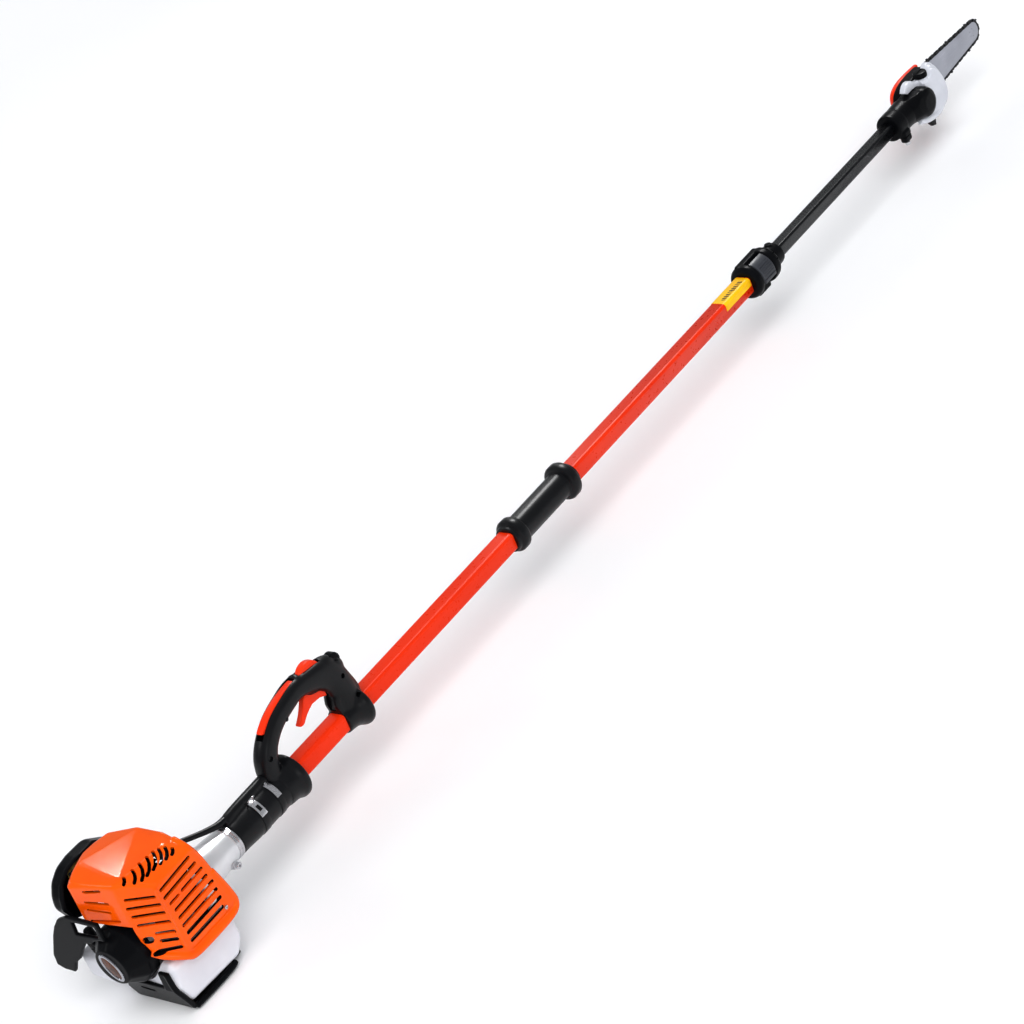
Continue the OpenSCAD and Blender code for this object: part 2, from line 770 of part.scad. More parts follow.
module clamp_body() color("black") {
    difference() {
        union() {
            on_axis(clamp_x) cylinder(h = 6, r1 = clamp_r - 5, r2 = clamp_r);
            bar_x(clamp_x + 6, clamp_x + 18, clamp_r);
            bar_x(clamp_x, clamp_x + clamp_l, 25.5);
            bar_x(clamp_x + 58, clamp_x + clamp_l - 6, clamp_r);
            on_axis(clamp_x + clamp_l - 6) cylinder(h = 6, r1 = clamp_r, r2 = clamp_r - 6);
            on_axis(clamp_x + clamp_l) cylinder(h = nose_x - clamp_x - clamp_l, r1 = 23, r2 = 20.5);
            box([clamp_x + 6, -1, axis_z + 10], [clamp_x + 74, 18, axis_z + 31]);
            translate([clamp_x + clamp_l + 14, 0, axis_z + 15]) cylinder(h = 10, r = 7);
            box([clamp_x + 18, -12, axis_z - 36], [clamp_x + 58, 12, axis_z - 20]);
        }
        square_bar(clamp_x - 1, outer_end_x, outer_w, outer_r);
        square_bar(outer_end_x - 1, nose_x + 1, outer_bore, outer_r - tube_wall);
        bar_x(clamp_x + 10, clamp_x + 66, 2, lever_hinge[0], axis_z + lever_hinge[1]);
        box([clamp_x + 17.7, -40, axis_z + 22], [clamp_x + 58.3, 2, axis_z + 40]);
        box([outer_end_x, -0.8, axis_z - 40], [nose_x + 1, 0.8, axis_z - 10]);
    }
}

module clamp_lever() color("slategray") {
    difference() {
        intersection() {
            bar_x(clamp_x + 18.3, clamp_x + 57.7, clamp_r - 1);
            box([clamp_x, -60, axis_z - 14], [clamp_x + 60, -5.5, axis_z + 60]);
        }
        bar_x(clamp_x + 17, clamp_x + 59, 26);
        box([clamp_x, -60, axis_z - 60], [clamp_x + 60, -22, axis_z - 14]);
        bar_x(clamp_x + 17, clamp_x + 59, 2, lever_hinge[0], axis_z + lever_hinge[1]);
    }
    bar_x(clamp_x + 10.5, clamp_x + 65.5, 2 - fit, lever_hinge[0], axis_z + lever_hinge[1]);
}

module front_bush() color("ivory") {
    square_tube(1650, nose_x - 6, outer_bore - 0.02, outer_r - tube_wall, inner_w + 0.1, inner_r);
}

module drive_tube() color("silver") {
    difference() {
        bar_x(80, outer_end_x - 10, drive_tube_r);
        box([79, -rod_w / 2 - 0.15, axis_z - rod_w / 2 - 0.15],
            [outer_end_x, rod_w / 2 + 0.15, axis_z + rod_w / 2 + 0.15]);
    }
}

module inner_tube() color("black") {
    square_tube(inner_start_x, inner_end_x, inner_w, inner_r, inner_bore, inner_r - tube_wall);
}

module inner_bush() color("ivory") {
    square_tube(inner_start_x + 2, inner_start_x + 60, outer_bore - 0.1, outer_r - tube_wall, inner_w, inner_r);
}

module drive_rod() color("silver") {
    box([410, -rod_w / 2, axis_z - rod_w / 2], [cross_x - 16, rod_w / 2, axis_z + rod_w / 2]);
}

module shaft_bearings() color("lightgray") {
    for (x = [1900, 2180]) difference() {
        square_bar(x, x + 16, inner_bore, inner_r - tube_wall);
        bar_x(x - 1, x + 17, 5.1);
    }
    difference() {
        bar_x(2230, 2240, 11);
        bar_x(2229, 2241, 5.1);
    }
    for (y = [[-27, -20], [10, 16]]) difference() {
        bar_y_axis(y[0], y[1], 11, cross_x);
        bar_y_axis(y[0] - 1, y[1] + 1, 5 + fit, cross_x);
    }
}

// Saw head

guard_floor_y = 17.8;
stud_x = [2332, 2362];
cover_middle = [2340, 105];
cover_outline = concat(
    curve([[2390, 144], [2340, 148], [2280, 152], [2276, 118]], 12),
    curve([[2275, 112], [2274, 76], [2310, 65], [2390, 66]], 12));

module gear_housing() color("black") {
    difference() {
        union() {
            bar_x(2200, 2246, 26);
            box([2204, -30, axis_z - 34], [2228, -14, axis_z - 8]);
            hull() {
                bar_x(2242, 2248, 25);
                bar_y_axis(-33, 15, 27, cross_x);
            }
            bar_y_axis(-36, -30, 22, cross_x);
            upright(6, 30) polygon(cover_outline);
        }
        upright(guard_floor_y, 31) polygon(shrunk(cover_outline, cover_middle, 0.93));
        box([2340, guard_floor_y, 73], [2400, 31, 139]);
        box([2373, 5, 60], [2400, 31, 160]);
        square_bar(2199, inner_end_x, inner_w, inner_r);
        bar_x(inner_end_x - 1, 2231, 9);
        bar_x(2230, 2240, 11);
        bar_x(2239, cross_x - 6, 10);
        bar_y_axis(-27, -19, 11, cross_x);
        bar_y_axis(-20, 11, 15.5, cross_x);
        bar_y_axis(10, 16, 11, cross_x);
        bar_y_axis(15, 20, 8, cross_x);
        box([2199, -31, axis_z - 22], [2229, -24, axis_z - 20]);
        for (x = stud_x) bar_y_axis(3, 19, 4, x, bar_z);
        translate([2216, -22, axis_z - 40]) cylinder(h = 36, r = 2.5);
    }
}

// A straight bevel gear on +Z with its cone's point at the origin, large end at z = -reach
module bevel_gear(teeth, pitch_r, reach, phase) {
    slant = norm([pitch_r, reach]);
    tilt = atan2(pitch_r, reach);
    small = 0.66;
    root_drop = 1.15;
    tip_rise = 0.8;
    root_r = pitch_r - root_drop * cos(tilt);
    translate([0, 0, -reach - root_drop * sin(tilt)])
        cylinder(h = reach * (1 - small), r1 = root_r, r2 = root_r * small);
    for (k = [0:teeth - 1]) rotate([0, 0, phase + k * 360 / teeth])
        polyhedron(
            [for (s = [1, small], side = [-1, 1], e = [[-root_drop - 0.3, 1.15], [tip_rise, 0.55]])
                s * [slant * sin(tilt) + e[0] * cos(tilt), side * e[1], -slant * cos(tilt) + e[0] * sin(tilt)]],
            [[0, 1, 3, 2], [4, 6, 7, 5], [0, 4, 5, 1], [2, 3, 7, 6], [1, 5, 7, 3], [0, 2, 6, 4]]);
}

pinion_pitch_r = 9;
wheel_pitch_r = pinion_pitch_r * wheel_teeth / pinion_teeth;

module bevel_pinion() color("dimgray") {
    difference() {
        union() {
            on_axis(cross_x) bevel_gear(pinion_teeth, pinion_pitch_r, wheel_pitch_r, 90);
            bar_x(cross_x - 40, cross_x - 12.2, 7.5);
        }
        box([2240, -rod_w / 2, axis_z - rod_w / 2], [cross_x - 16, rod_w / 2, axis_z + rod_w / 2]);
    }
}

module bevel_wheel() color("dimgray") {
    translate([cross_x, 0, axis_z]) rotate([-90, 0, 0])
        bevel_gear(wheel_teeth, wheel_pitch_r, pinion_pitch_r, 360 / wheel_teeth / 2);
    bar_y_axis(-18, -9.2, 11, cross_x);
    bar_y_axis(-27, bar_y + 8, 5, cross_x);
}

module sprocket() color("silver") {
    difference() {
        union() {
            bar_y_axis(bar_y - 1.4, bar_y + 1.4, sprocket_r, cross_x);
            bar_y_axis(bar_y - 3.5, bar_y + 4, 9, cross_x);
        }
        bar_y_axis(bar_y - 5, bar_y + 5, 5, cross_x);
        for (k = [0:6])
            translate([cross_x, bar_y, axis_z]) rotate([0, k * 360 / 7, 0]) bar_y_axis(-3, 3, 2.2, 14, 0);
    }
}

tank_back = joined([
    [[2268, 140], [2276, 160], [2296, 164], [2308, 148]],
    [[2308, 148], [2320, 142], [2344, 142], [2354, 152]],
    [[2354, 152], [2360, 160], [2374, 160], [2382, 146]],
    [[2382, 146], [2402, 116], [2410, 74], [2382, 62]],
    [[2382, 62], [2352, 52], [2320, 54], [2296, 64]],
    [[2296, 64], [2344, 62], [2350, 128], [2312, 136]],
    [[2312, 136], [2300, 139], [2286, 136], [2272, 134]]], 7);
tank_middle = [2320, 112];
oil_neck = [2331, -9];

module oil_tank() color("whitesmoke") {
    difference() {
        union() {
            upright(-9, 3.6) polygon(tank_back);
            upright(-22, -8.9) polygon(shrunk(tank_back, tank_middle, 0.84));
            translate([oil_neck[0], oil_neck[1], 137]) cylinder(h = 17, r = 11);
        }
        bar_y_axis(-40, 20, 27.3, cross_x);
        box([2240, -40, 100], [cross_x, 20, 137.3]);
        upright(-19.5, 1.5) polygon([[2352, 130], [2360, 138], [2374, 110], [2371, 82], [2360, 76], [2356, 110]]);
        translate([oil_neck[0], oil_neck[1], 140]) cylinder(h = 17, r = 8.5);
    }
}

module oil_cap() color("black") {
    translate([oil_neck[0], oil_neck[1], 148]) difference() {
        cylinder(h = 11, r = 13.5);
        translate([0, 0, -1]) cylinder(h = 7.3, r = 11.2);
        for (k = [0:9]) rotate(k * 36) translate([14.2, 0, -1]) cylinder(h = 13, r = 1.5);
    }
}

bar_root = [2352, bar_z, bar_root_r];
bar_middle = [bar_middle_x, bar_z, bar_middle_r];
chain_outline = [
    [cross_x, axis_z, sprocket_r], bar_root, bar_middle, [bar_nose_x, bar_z, bar_nose_r], bar_middle, bar_root
];

module guide_bar() color("lightgray") {
    difference() {
        upright(bar_y - bar_thickness / 2, bar_y + bar_thickness / 2)
            polygon(belt([bar_root - [0, 0, 1], bar_middle, [bar_nose_x, bar_z, bar_nose_r], bar_middle], 0, 14));
        for (x = stud_x) bar_y_axis(bar_y - 5, bar_y + 5, 4, x, bar_z);
        box([stud_x[0], bar_y - 5, bar_z - 4], [stud_x[1], bar_y + 5, bar_z + 4]);
    }
}

module saw_chain() color("black") {
    upright(bar_y - 1.6, bar_y + 1.6) difference() {
        polygon(belt(chain_outline, 4.5, 14));
        polygon(belt(chain_outline, 0.5, 14));
    }
    for (k = [0:8], s = [-1, 1]) chain_cutter(bar_middle_x + 18 * k, s);
}

function edge_r(x) = bar_middle_r + (bar_nose_r - bar_middle_r) * (x - bar_middle_x) / (bar_nose_x - bar_middle_x);

module chain_cutter(x, s) {
    translate([x, bar_y, bar_z + s * (edge_r(x) + 2)]) box([-5, -3, min(0, s * 5)], [5, 3, max(0, s * 5)]);
}

module head_fasteners() color("silver") {
    for (x = stud_x) {
        bar_y_axis(4, 46, 4, x, bar_z);
        translate([x, 42, bar_z]) rotate([-90, 0, 0]) cylinder(h = 6, r = 7.5, $fn = 6);
    }
    translate([2216, -22, axis_z - 38]) cylinder(h = 32, r = 2.5);
    translate([2216, -22, axis_z - 40]) cylinder(h = 5.5, r = 5);
}

module sprocket_cover() color("orangered") {
    difference() {
        union() {
            upright(30.2, 38) polygon(shrunk(cover_outline, cover_middle, 0.97));
            upright(37.9, 46) polygon(shrunk(cover_outline, cover_middle, 0.84));
        }
        upright(30, 35) polygon(shrunk(cover_outline, cover_middle, 0.88));
        for (x = stud_x) bar_y_axis(42, 50, 9, x, bar_z);
        for (x = stud_x) bar_y_axis(29, 50, 4, x, bar_z);
    }
    for (x = stud_x) difference() {
        bar_y_axis(30.2, 36, 9, x, bar_z);
        bar_y_axis(29, 43, 4, x, bar_z);
    }
}

hook_plate = [[2322, 82], [2318, 58], [2368, 58], [2366, 82]];
hook_claw = [[2318, 64], [2316, 56], [2330, 52], [2344, 34], [2356, 30], [2360, 44], [2372, 52], [2370, 64]];

module branch_hook() color("black") {
    upright(3.8, 5.9) polygon(hook_plate);
    upright(3.8, 10) polygon(hook_claw);
}

crankcase();
engine_cylinder();
crankshaft();
flywheel();
ignition_coil();
spark_plug();
muffler();
carburettor();
air_filter_base();
air_filter_element();
air_filter_cover();
choke_lever();
primer_bulb();
engine_shroud();
starter_housing();
rope_drum();
rewind_spring();
starter_grip();
starter_badge();
fuel_tank();
fuel_cap();
tank_guard();
side_bumper();
clutch_shoes();
clutch_drum();
clutch_housing();
housing_bolts();
rear_grip();
band_clamp();
harness_ring();
handle_left();
handle_right();
throttle_trigger();
lockout_lever();
stop_switch();
throttle_lock_knob();
handle_fasteners();
throttle_cable();
outer_tube();
mid_grip();
warning_label();
clamp_body();
clamp_lever();
front_bush();
drive_tube();
inner_tube();
inner_bush();
drive_rod();
shaft_bearings();
gear_housing();
bevel_pinion();
bevel_wheel();
sprocket();
oil_tank();
oil_cap();
guide_bar();
saw_chain();
head_fasteners();
sprocket_cover();
branch_hook();
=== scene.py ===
from math import asin, atan2, copysign, cos, dist, hypot, pi, radians, sin

import bmesh
import bpy
from mathutils import Matrix, Vector


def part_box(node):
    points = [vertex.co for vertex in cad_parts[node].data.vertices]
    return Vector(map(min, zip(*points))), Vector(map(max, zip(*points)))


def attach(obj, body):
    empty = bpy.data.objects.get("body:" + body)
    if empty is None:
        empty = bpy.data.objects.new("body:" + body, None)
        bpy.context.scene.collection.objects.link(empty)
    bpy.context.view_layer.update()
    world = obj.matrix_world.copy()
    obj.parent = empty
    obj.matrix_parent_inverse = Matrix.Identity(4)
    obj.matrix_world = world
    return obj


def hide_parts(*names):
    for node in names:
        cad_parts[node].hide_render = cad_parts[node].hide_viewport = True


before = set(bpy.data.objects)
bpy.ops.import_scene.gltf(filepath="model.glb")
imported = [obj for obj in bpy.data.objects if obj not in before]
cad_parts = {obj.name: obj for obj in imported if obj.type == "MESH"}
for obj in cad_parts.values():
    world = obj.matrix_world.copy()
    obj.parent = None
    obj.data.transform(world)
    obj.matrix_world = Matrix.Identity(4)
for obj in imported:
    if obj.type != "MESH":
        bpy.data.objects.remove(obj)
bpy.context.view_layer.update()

SCENE = bpy.context.scene
Q = pi / 2

# Driving places and sizes, in millimetres unless a comment says otherwise

AXIS_Z = 110.0  # height of the pole's middle line
CROSS_X = (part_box("sprocket")[0].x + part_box("sprocket")[1].x) * 500  # the head's cross shaft
BAR_Z = 106  # height of the guide bar's middle line
STUDS = (2332, 2362)  # the two bar studs along the pole
TUBE_BORE = 16.05  # half the width of a bore that holds the outer tube
STRAP_R = 30.1  # the rear grip's radius under the two straps
FLOOR_HALF = 90  # metres


# Camera, light and floor

def look():
    right = Vector((0.54865236, -0.76996495, -0.325783))
    up = Vector((0.5873292, 0.07764489, 0.8056151))
    ahead = Vector((0.595, 0.63334449, -0.49482295))
    camera = bpy.data.cameras.new("camera")
    camera.lens = 105.47
    camera.sensor_width = 36
    holder = bpy.data.objects.new("camera", camera)
    SCENE.collection.objects.link(holder)
    eye = (-1.919, -3.048, 2.525)
    rows = [(right[i], up[i], -ahead[i], eye[i]) for i in range(3)]
    holder.matrix_world = Matrix(rows + [(0, 0, 0, 1)])
    SCENE.camera = holder


def lamp(name, kind, place, target, energy, size=1.0, glossy=True, diffuse=True):
    data = bpy.data.lights.new(name, kind)
    data.energy = energy
    if kind == "AREA":
        data.size = size
    else:
        data.angle = size
    holder = bpy.data.objects.new(name, data)
    holder.location = place
    holder.rotation_euler = (Vector(target) - Vector(place)).to_track_quat("-Z", "Y").to_euler()
    holder.visible_glossy = glossy
    holder.visible_diffuse = diffuse
    SCENE.collection.objects.link(holder)


def studio():
    world = bpy.data.worlds.new("studio")
    SCENE.world = world
    world.use_nodes = True
    sky = world.node_tree.nodes["Background"]
    sky.inputs[0].default_value = (0.95, 0.97, 1.0, 1)
    sky.inputs[1].default_value = 0.46
    lamp("key", "SUN", (-1.5, -2.2, 4.5), (0.6, 0.4, 0), 2.3, radians(60), glossy=False)
    lamp("glint", "SUN", (0.6, 0.24, 0.76), (0, 0, 0), 2.1, radians(17), diffuse=False)
    lamp("softbox_engine", "AREA", (1.05, 1.75, 1.65), (0, 0, 0.24), 1.3, 0.12, diffuse=False)
    lamp("softbox_engine_low", "AREA", (0.86, 1.98, 1.62), (0, 0, 0.24), 0.8, 0.13, diffuse=False)
    lamp("softbox_side", "AREA", (-1.0, -2.4, 0.9), (0.3, 0, 0.15), 5, 0.6)
    lamp("strip_rear", "AREA", (-1.4, 1.6, 1.9), (0.2, 0, 0.15), 6, 0.6)
    lamp("softbox_head", "AREA", (3.0, 1.9, 1.4), (2.3, 0, 0.1), 4, 0.5)
    SCENE.view_settings.view_transform = "Standard"
    SCENE.view_settings.look = "None"
    SCENE.view_settings.exposure = 0.0
    SCENE.view_settings.gamma = 0.86


# Materials

MATERIALS = {}


class Graph:
    """A new material with its node tree, and short calls that add nodes to it."""

    def __init__(self, name):
        self.m = bpy.data.materials.new(name)
        self.m.use_nodes = True
        self.tree = self.m.node_tree
        self.shader = self.tree.nodes["Principled BSDF"]
        self.coord = self.add("ShaderNodeTexCoord").outputs["Object"]

    def add(self, kind, **settings):
        node = self.tree.nodes.new(kind)
        for key, value in settings.items():
            setattr(node, key, value)
        return node

    def link(self, a, b):
        self.tree.links.new(a, b)

    def noise(self, scale, detail=4, stretch=(1, 1, 1), rough=0.55):
        place = self.add("ShaderNodeMapping")
        place.inputs["Scale"].default_value = stretch
        self.link(self.coord, place.inputs["Vector"])
        noise = self.add("ShaderNodeTexNoise")
        noise.inputs["Scale"].default_value = scale
        noise.inputs["Detail"].default_value = detail
        noise.inputs["Roughness"].default_value = rough
        self.link(place.outputs[0], noise.inputs["Vector"])
        return noise.outputs["Fac"]

    def ramp(self, fac, stops):
        ramp = self.add("ShaderNodeValToRGB")
        while len(ramp.color_ramp.elements) < len(stops):
            ramp.color_ramp.elements.new(0.5)
        for e, (at, colour) in zip(ramp.color_ramp.elements, stops):
            e.position = at
            e.color = (*colour, 1)
        self.link(fac, ramp.inputs[0])
        return ramp.outputs[0]

    def spread(self, fac, low, high, a=0.3, b=0.7):
        out = self.add("ShaderNodeMapRange")
        for key, value in (("From Min", a), ("From Max", b), ("To Min", low), ("To Max", high)):
            out.inputs[key].default_value = value
        self.link(fac, out.inputs["Value"])
        return out.outputs[0]

    def mix(self, fac, a, b):
        mix = self.add("ShaderNodeMix", data_type="RGBA")
        self.link(fac, mix.inputs[0])
        for value, socket in ((a, mix.inputs[6]), (b, mix.inputs[7])):
            if isinstance(value, tuple):
                socket.default_value = tuple(value) + (1,)
            else:
                self.link(value, socket)
        return mix.outputs[2]


def material(name, colour, dark, rough, spread=0.07, metal=0.0, grain=900, bump=0.08, depth=0.0002, blotch=14,
        stretch=(1, 1, 1), wear=None, wear_at=0.62, coat=0.0, spec=0.5, scratches=0.0):
    """A moulded, painted or metal surface: broad tone, fine grain, and worn patches or lines where asked."""
    g = Graph(name)
    fine = g.noise(grain, 5, stretch)
    broad = g.noise(blotch, 3)
    base = g.ramp(broad, [(0.3, dark), (0.68, colour)])
    if wear:
        patch = g.noise(65, 6, (1, 1, 1), 0.7)
        base = g.mix(g.spread(patch, 0, 0.55, wear_at, wear_at + 0.1), base, wear)
    if scratches:
        lines = g.noise(34, 3, (1.0, 22.0, 22.0), 0.6)
        base = g.mix(g.spread(lines, 0, scratches, 0.6, 0.72), base,
            tuple(min(1, c * 1.8 + 0.04) for c in colour))
    g.link(base, g.shader.inputs["Base Color"])
    g.link(g.spread(fine, rough - spread, rough + spread), g.shader.inputs["Roughness"])
    height = g.add("ShaderNodeBump")
    height.inputs["Strength"].default_value = bump
    height.inputs["Distance"].default_value = depth
    g.link(fine, height.inputs["Height"])
    g.link(height.outputs[0], g.shader.inputs["Normal"])
    g.shader.inputs["Metallic"].default_value = metal
    g.shader.inputs["Coat Weight"].default_value = coat
    g.shader.inputs["Coat Roughness"].default_value = 0.08
    g.shader.inputs["Specular IOR Level"].default_value = spec
    MATERIALS[name] = g.m
    return g.m


def palette():
    material("orange_shell", (0.96, 0.132, 0.0008), (0.91, 0.110, 0.0008), 0.15, 0.03, grain=300, bump=0.01,
        coat=0.3, spec=0.12)
    material("orange_plastic", (0.93, 0.050, 0.004), (0.82, 0.036, 0.003), 0.34, 0.05, grain=900, bump=0.05,
        spec=0.26)
    material("orange_paint", (0.84, 0.042, 0.003), (0.77, 0.034, 0.002), 0.30, 0.04, grain=160, bump=0.012,
        blotch=7, spec=0.24, scratches=0.05)
    material("black_plastic", (0.0050, 0.0056, 0.0072), (0.0030, 0.0034, 0.0044), 0.31, 0.06, grain=1500,
        bump=0.08, wear=(0.008, 0.009, 0.012), spec=0.09)
    material("black_paint", (0.0042, 0.0048, 0.0064), (0.0028, 0.0032, 0.0042), 0.28, 0.05, grain=500,
        bump=0.03, blotch=9, spec=0.30, scratches=0.06)
    material("black_rubber", (0.0055, 0.0060, 0.0076), (0.0032, 0.0036, 0.0046), 0.34, 0.06, grain=1300,
        bump=0.12, wear=(0.010, 0.011, 0.014), wear_at=0.6, spec=0.30)
    material("cast_alloy", (0.80, 0.81, 0.83), (0.66, 0.67, 0.69), 0.32, 0.04, 0.6, grain=260, bump=0.03)
    material("steel", (0.72, 0.72, 0.74), (0.54, 0.54, 0.56), 0.24, 0.08, 0.95, grain=700, bump=0.10,
        stretch=(1, 6, 6), wear=(0.40, 0.38, 0.36))
    material("tank_white", (0.74, 0.745, 0.79), (0.66, 0.665, 0.715), 0.38, 0.06, grain=600, bump=0.06,
        spec=0.3)
    material("head_white", (0.73, 0.745, 0.80), (0.60, 0.615, 0.67), 0.34, 0.015, grain=120, bump=0.003,
        coat=0.2)
    material("bar_grey", (0.40, 0.41, 0.46), (0.31, 0.32, 0.365), 0.36, 0.06, 0.3, grain=240, bump=0.04,
        stretch=(0.25, 10, 10), scratches=0.2)
    material("chain_black", (0.0060, 0.0066, 0.0085), (0.0035, 0.0040, 0.0050), 0.32, 0.10, 0.2, grain=1200,
        bump=0.15, wear=(0.045, 0.046, 0.052), wear_at=0.66, spec=0.3)
    material("nylon", (0.72, 0.70, 0.64), (0.62, 0.60, 0.55), 0.42, grain=1100)
    material("foam", (0.55, 0.42, 0.12), (0.36, 0.27, 0.07), 0.9, 0.05, grain=1100, bump=0.9, depth=0.001)
    material("lever_grey", (0.055, 0.059, 0.070), (0.032, 0.034, 0.041), 0.34, 0.08, grain=1500, bump=0.18,
        wear=(0.09, 0.093, 0.105), spec=0.35)
    material("badge_grey", (0.52, 0.53, 0.57), (0.26, 0.265, 0.29), 0.22, 0.10, 0.85, grain=500, bump=0.2)
    material("badge_core", (0.20, 0.060, 0.022), (0.004, 0.004, 0.005), 0.22, 0.08, 0.3, grain=400, blotch=95,
        bump=0.1)
    material("muffler_steel", (0.030, 0.028, 0.027), (0.014, 0.013, 0.013), 0.55, 0.12, 0.5, grain=500,
        bump=0.4, wear=(0.07, 0.04, 0.025))
    # Dark cast alloy, made darker than bare alloy as painted shade: it stands for the shade inside the shroud
    # on the engine cylinder seen through the slots and on the rear of the clutch cone
    material("fin_alloy", (0.040, 0.041, 0.043), (0.020, 0.021, 0.022), 0.5, 0.1, 0.5, grain=420, bump=0.5,
        depth=0.0005)
    material("copper_coil", (0.45, 0.13, 0.05), (0.25, 0.06, 0.02), 0.36, 0.1, 0.9, grain=900,
        stretch=(1, 1, 9), bump=0.6, depth=0.0005)
    material("ceramic", (0.84, 0.83, 0.80), (0.74, 0.73, 0.70), 0.16, 0.05, grain=500, bump=0.04, coat=0.5)
    material("primer_red", (0.62, 0.03, 0.02), (0.42, 0.018, 0.012), 0.22, 0.05, grain=500, bump=0.05)
    # Painted shade: a near-black stand-in for the shade inside the shroud, given to the shell's inner faces
    # and slot walls in place of their orange
    material("slot_painted_shade", (0.004, 0.004, 0.005), (0.002, 0.002, 0.0025), 0.7, 0.1, grain=800, bump=0.2,
        spec=0.1)
    label_material()


def label_material():
    """Plain yellow film with one row of generic slanted marks along its middle."""
    g = Graph("label_yellow")

    def calc(operation, a, b=0.0):
        node = g.add("ShaderNodeMath", operation=operation)
        for value, socket in ((a, node.inputs[0]), (b, node.inputs[1])):
            if isinstance(value, float):
                socket.default_value = value
            else:
                g.link(value, socket)
        return node.outputs[0]

    paper = g.ramp(g.noise(30, 4), [(0.3, (0.90, 0.50, 0.004)), (0.7, (0.98, 0.62, 0.008))])
    split = g.add("ShaderNodeSeparateXYZ")
    g.link(g.coord, split.inputs[0])
    x, y, z = split.outputs
    middle = (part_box("warning_label")[0].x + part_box("warning_label")[1].x) / 2
    slant = calc("ADD", x, calc("MULTIPLY", y, 0.45))
    stripes = calc("GREATER_THAN", calc("FRACT", calc("DIVIDE", slant, 0.0064)), 0.40)
    gaps = calc("GREATER_THAN", calc("FRACT", calc("DIVIDE", slant, 0.0256)), 0.16)
    ends = calc("LESS_THAN", calc("ABSOLUTE", calc("SUBTRACT", x, middle)), 0.031)
    ragged = calc("ADD", calc("MULTIPLY", g.noise(260, 2), 0.006), 0.0012)
    row = calc("LESS_THAN", calc("ABSOLUTE", calc("ADD", y, 0.0045)), ragged)
    ink = calc("MULTIPLY", calc("MULTIPLY", stripes, gaps), calc("MULTIPLY", ends, row))
    g.link(g.mix(ink, paper, (0.02, 0.014, 0.006)), g.shader.inputs["Base Color"])
    g.link(g.spread(g.noise(300, 3), 0.30, 0.42), g.shader.inputs["Roughness"])
    g.shader.inputs["Specular IOR Level"].default_value = 0.25
    MATERIALS["label_yellow"] = g.m


# Mesh tools, in millimetres; a piece is scaled to metres when it is finished

def new_object(bm):
    mesh = bpy.data.meshes.new("part")
    bmesh.ops.recalc_face_normals(bm, faces=bm.faces)
    bm.to_mesh(mesh)
    bm.free()
    ob = bpy.data.objects.new("part", mesh)
    SCENE.collection.objects.link(ob)
    return ob


def apply(ob):
    """Makes the object's modifiers part of its mesh."""
    graph = bpy.context.evaluated_depsgraph_get()
    mesh = bpy.data.meshes.new_from_object(ob.evaluated_get(graph))
    ob.modifiers.clear()
    old = ob.data
    ob.data = mesh
    bpy.data.meshes.remove(old)
    return ob


def modified(ob, kind, **settings):
    mod = ob.modifiers.new("m", kind)
    for key, value in settings.items():
        setattr(mod, key, value)
    return apply(ob)


def bevel(ob, width, segments=3, angle=30):
    return modified(ob, "BEVEL", width=width, segments=segments, limit_method="ANGLE",
        angle_limit=radians(angle), use_clamp_overlap=True)


def combine(ob, other, operation="DIFFERENCE"):
    """Cuts the other object out of this one, or joins it, and removes it."""
    mod = ob.modifiers.new("b", "BOOLEAN")
    mod.object = other
    mod.operation = operation
    mod.solver = "MANIFOLD"
    before = len(ob.data.polygons)
    graph = bpy.context.evaluated_depsgraph_get()
    if len(ob.evaluated_get(graph).data.polygons) in (0, before):
        mod.solver = "EXACT"
    apply(ob)
    bpy.data.objects.remove(other)
    return ob


def cut(ob, *cutters):
    for cutter in cutters:
        combine(ob, cutter)


def melted(ob, voxel, rounds):
    """Fuses all that the object holds into one skin with soft inner corners."""
    modified(ob, "REMESH", mode="VOXEL", voxel_size=voxel, adaptivity=0.0)
    return modified(ob, "SMOOTH", iterations=rounds, factor=0.5)


def merged(*obs):
    bm = bmesh.new()
    for ob in obs:
        bm.from_mesh(ob.data)
        bpy.data.objects.remove(ob)
    return new_object(bm)


def around(n):
    return [2 * pi * k / n for k in range(n)]


def frame_on(direction):
    z = Vector(direction).normalized()
    x = z.orthogonal().normalized()
    return Matrix((x, z.cross(x), z)).transposed().to_4x4()


def rod(p0, p1, r0, r1=None, n=48, turn=0.0):
    p0, p1 = Vector(p0), Vector(p1)
    bm = bmesh.new()
    place = Matrix.Translation((p0 + p1) / 2) @ frame_on(p1 - p0) @ Matrix.Rotation(turn, 4, "Z")
    bmesh.ops.create_cone(bm, cap_ends=True, segments=n, radius1=r0, radius2=r0 if r1 is None else r1,
        depth=(p1 - p0).length, matrix=place)
    return new_object(bm)


def bar_x(x0, x1, r, y=0.0, z=AXIS_Z, n=64):
    return rod((x0, y, z), (x1, y, z), r, n=n)


def rod_y(x, z, y0, y1, r0, r1=None, n=48):
    return rod((x, y0, z), (x, y1, z), r0, r1, n)


def block(lo, hi):
    lo, hi = Vector(lo), Vector(hi)
    bm = bmesh.new()
    size = Matrix.Diagonal((*(hi - lo), 1))
    bmesh.ops.create_cube(bm, size=1, matrix=Matrix.Translation((lo + hi) / 2) @ size)
    return new_object(bm)


def square_bore(x0, x1, half=TUBE_BORE, corner=6, steps=6):
    """A cutter for the bore round one of the pole's square tubes."""
    return bevel(block((x0, -half, AXIS_Z - half), (x1, half, AXIS_Z + half)), corner, steps)


def hull(points):
    bm = bmesh.new()
    for p in points:
        bm.verts.new(p)
    out = bmesh.ops.convex_hull(bm, input=bm.verts)
    stray = {v for key in ("geom_interior", "geom_unused") for v in out[key]
        if isinstance(v, bmesh.types.BMVert)}
    bmesh.ops.delete(bm, geom=list(stray), context="VERTS")
    bmesh.ops.dissolve_limit(bm, angle_limit=radians(2), verts=bm.verts, edges=bm.edges)
    return new_object(bm)


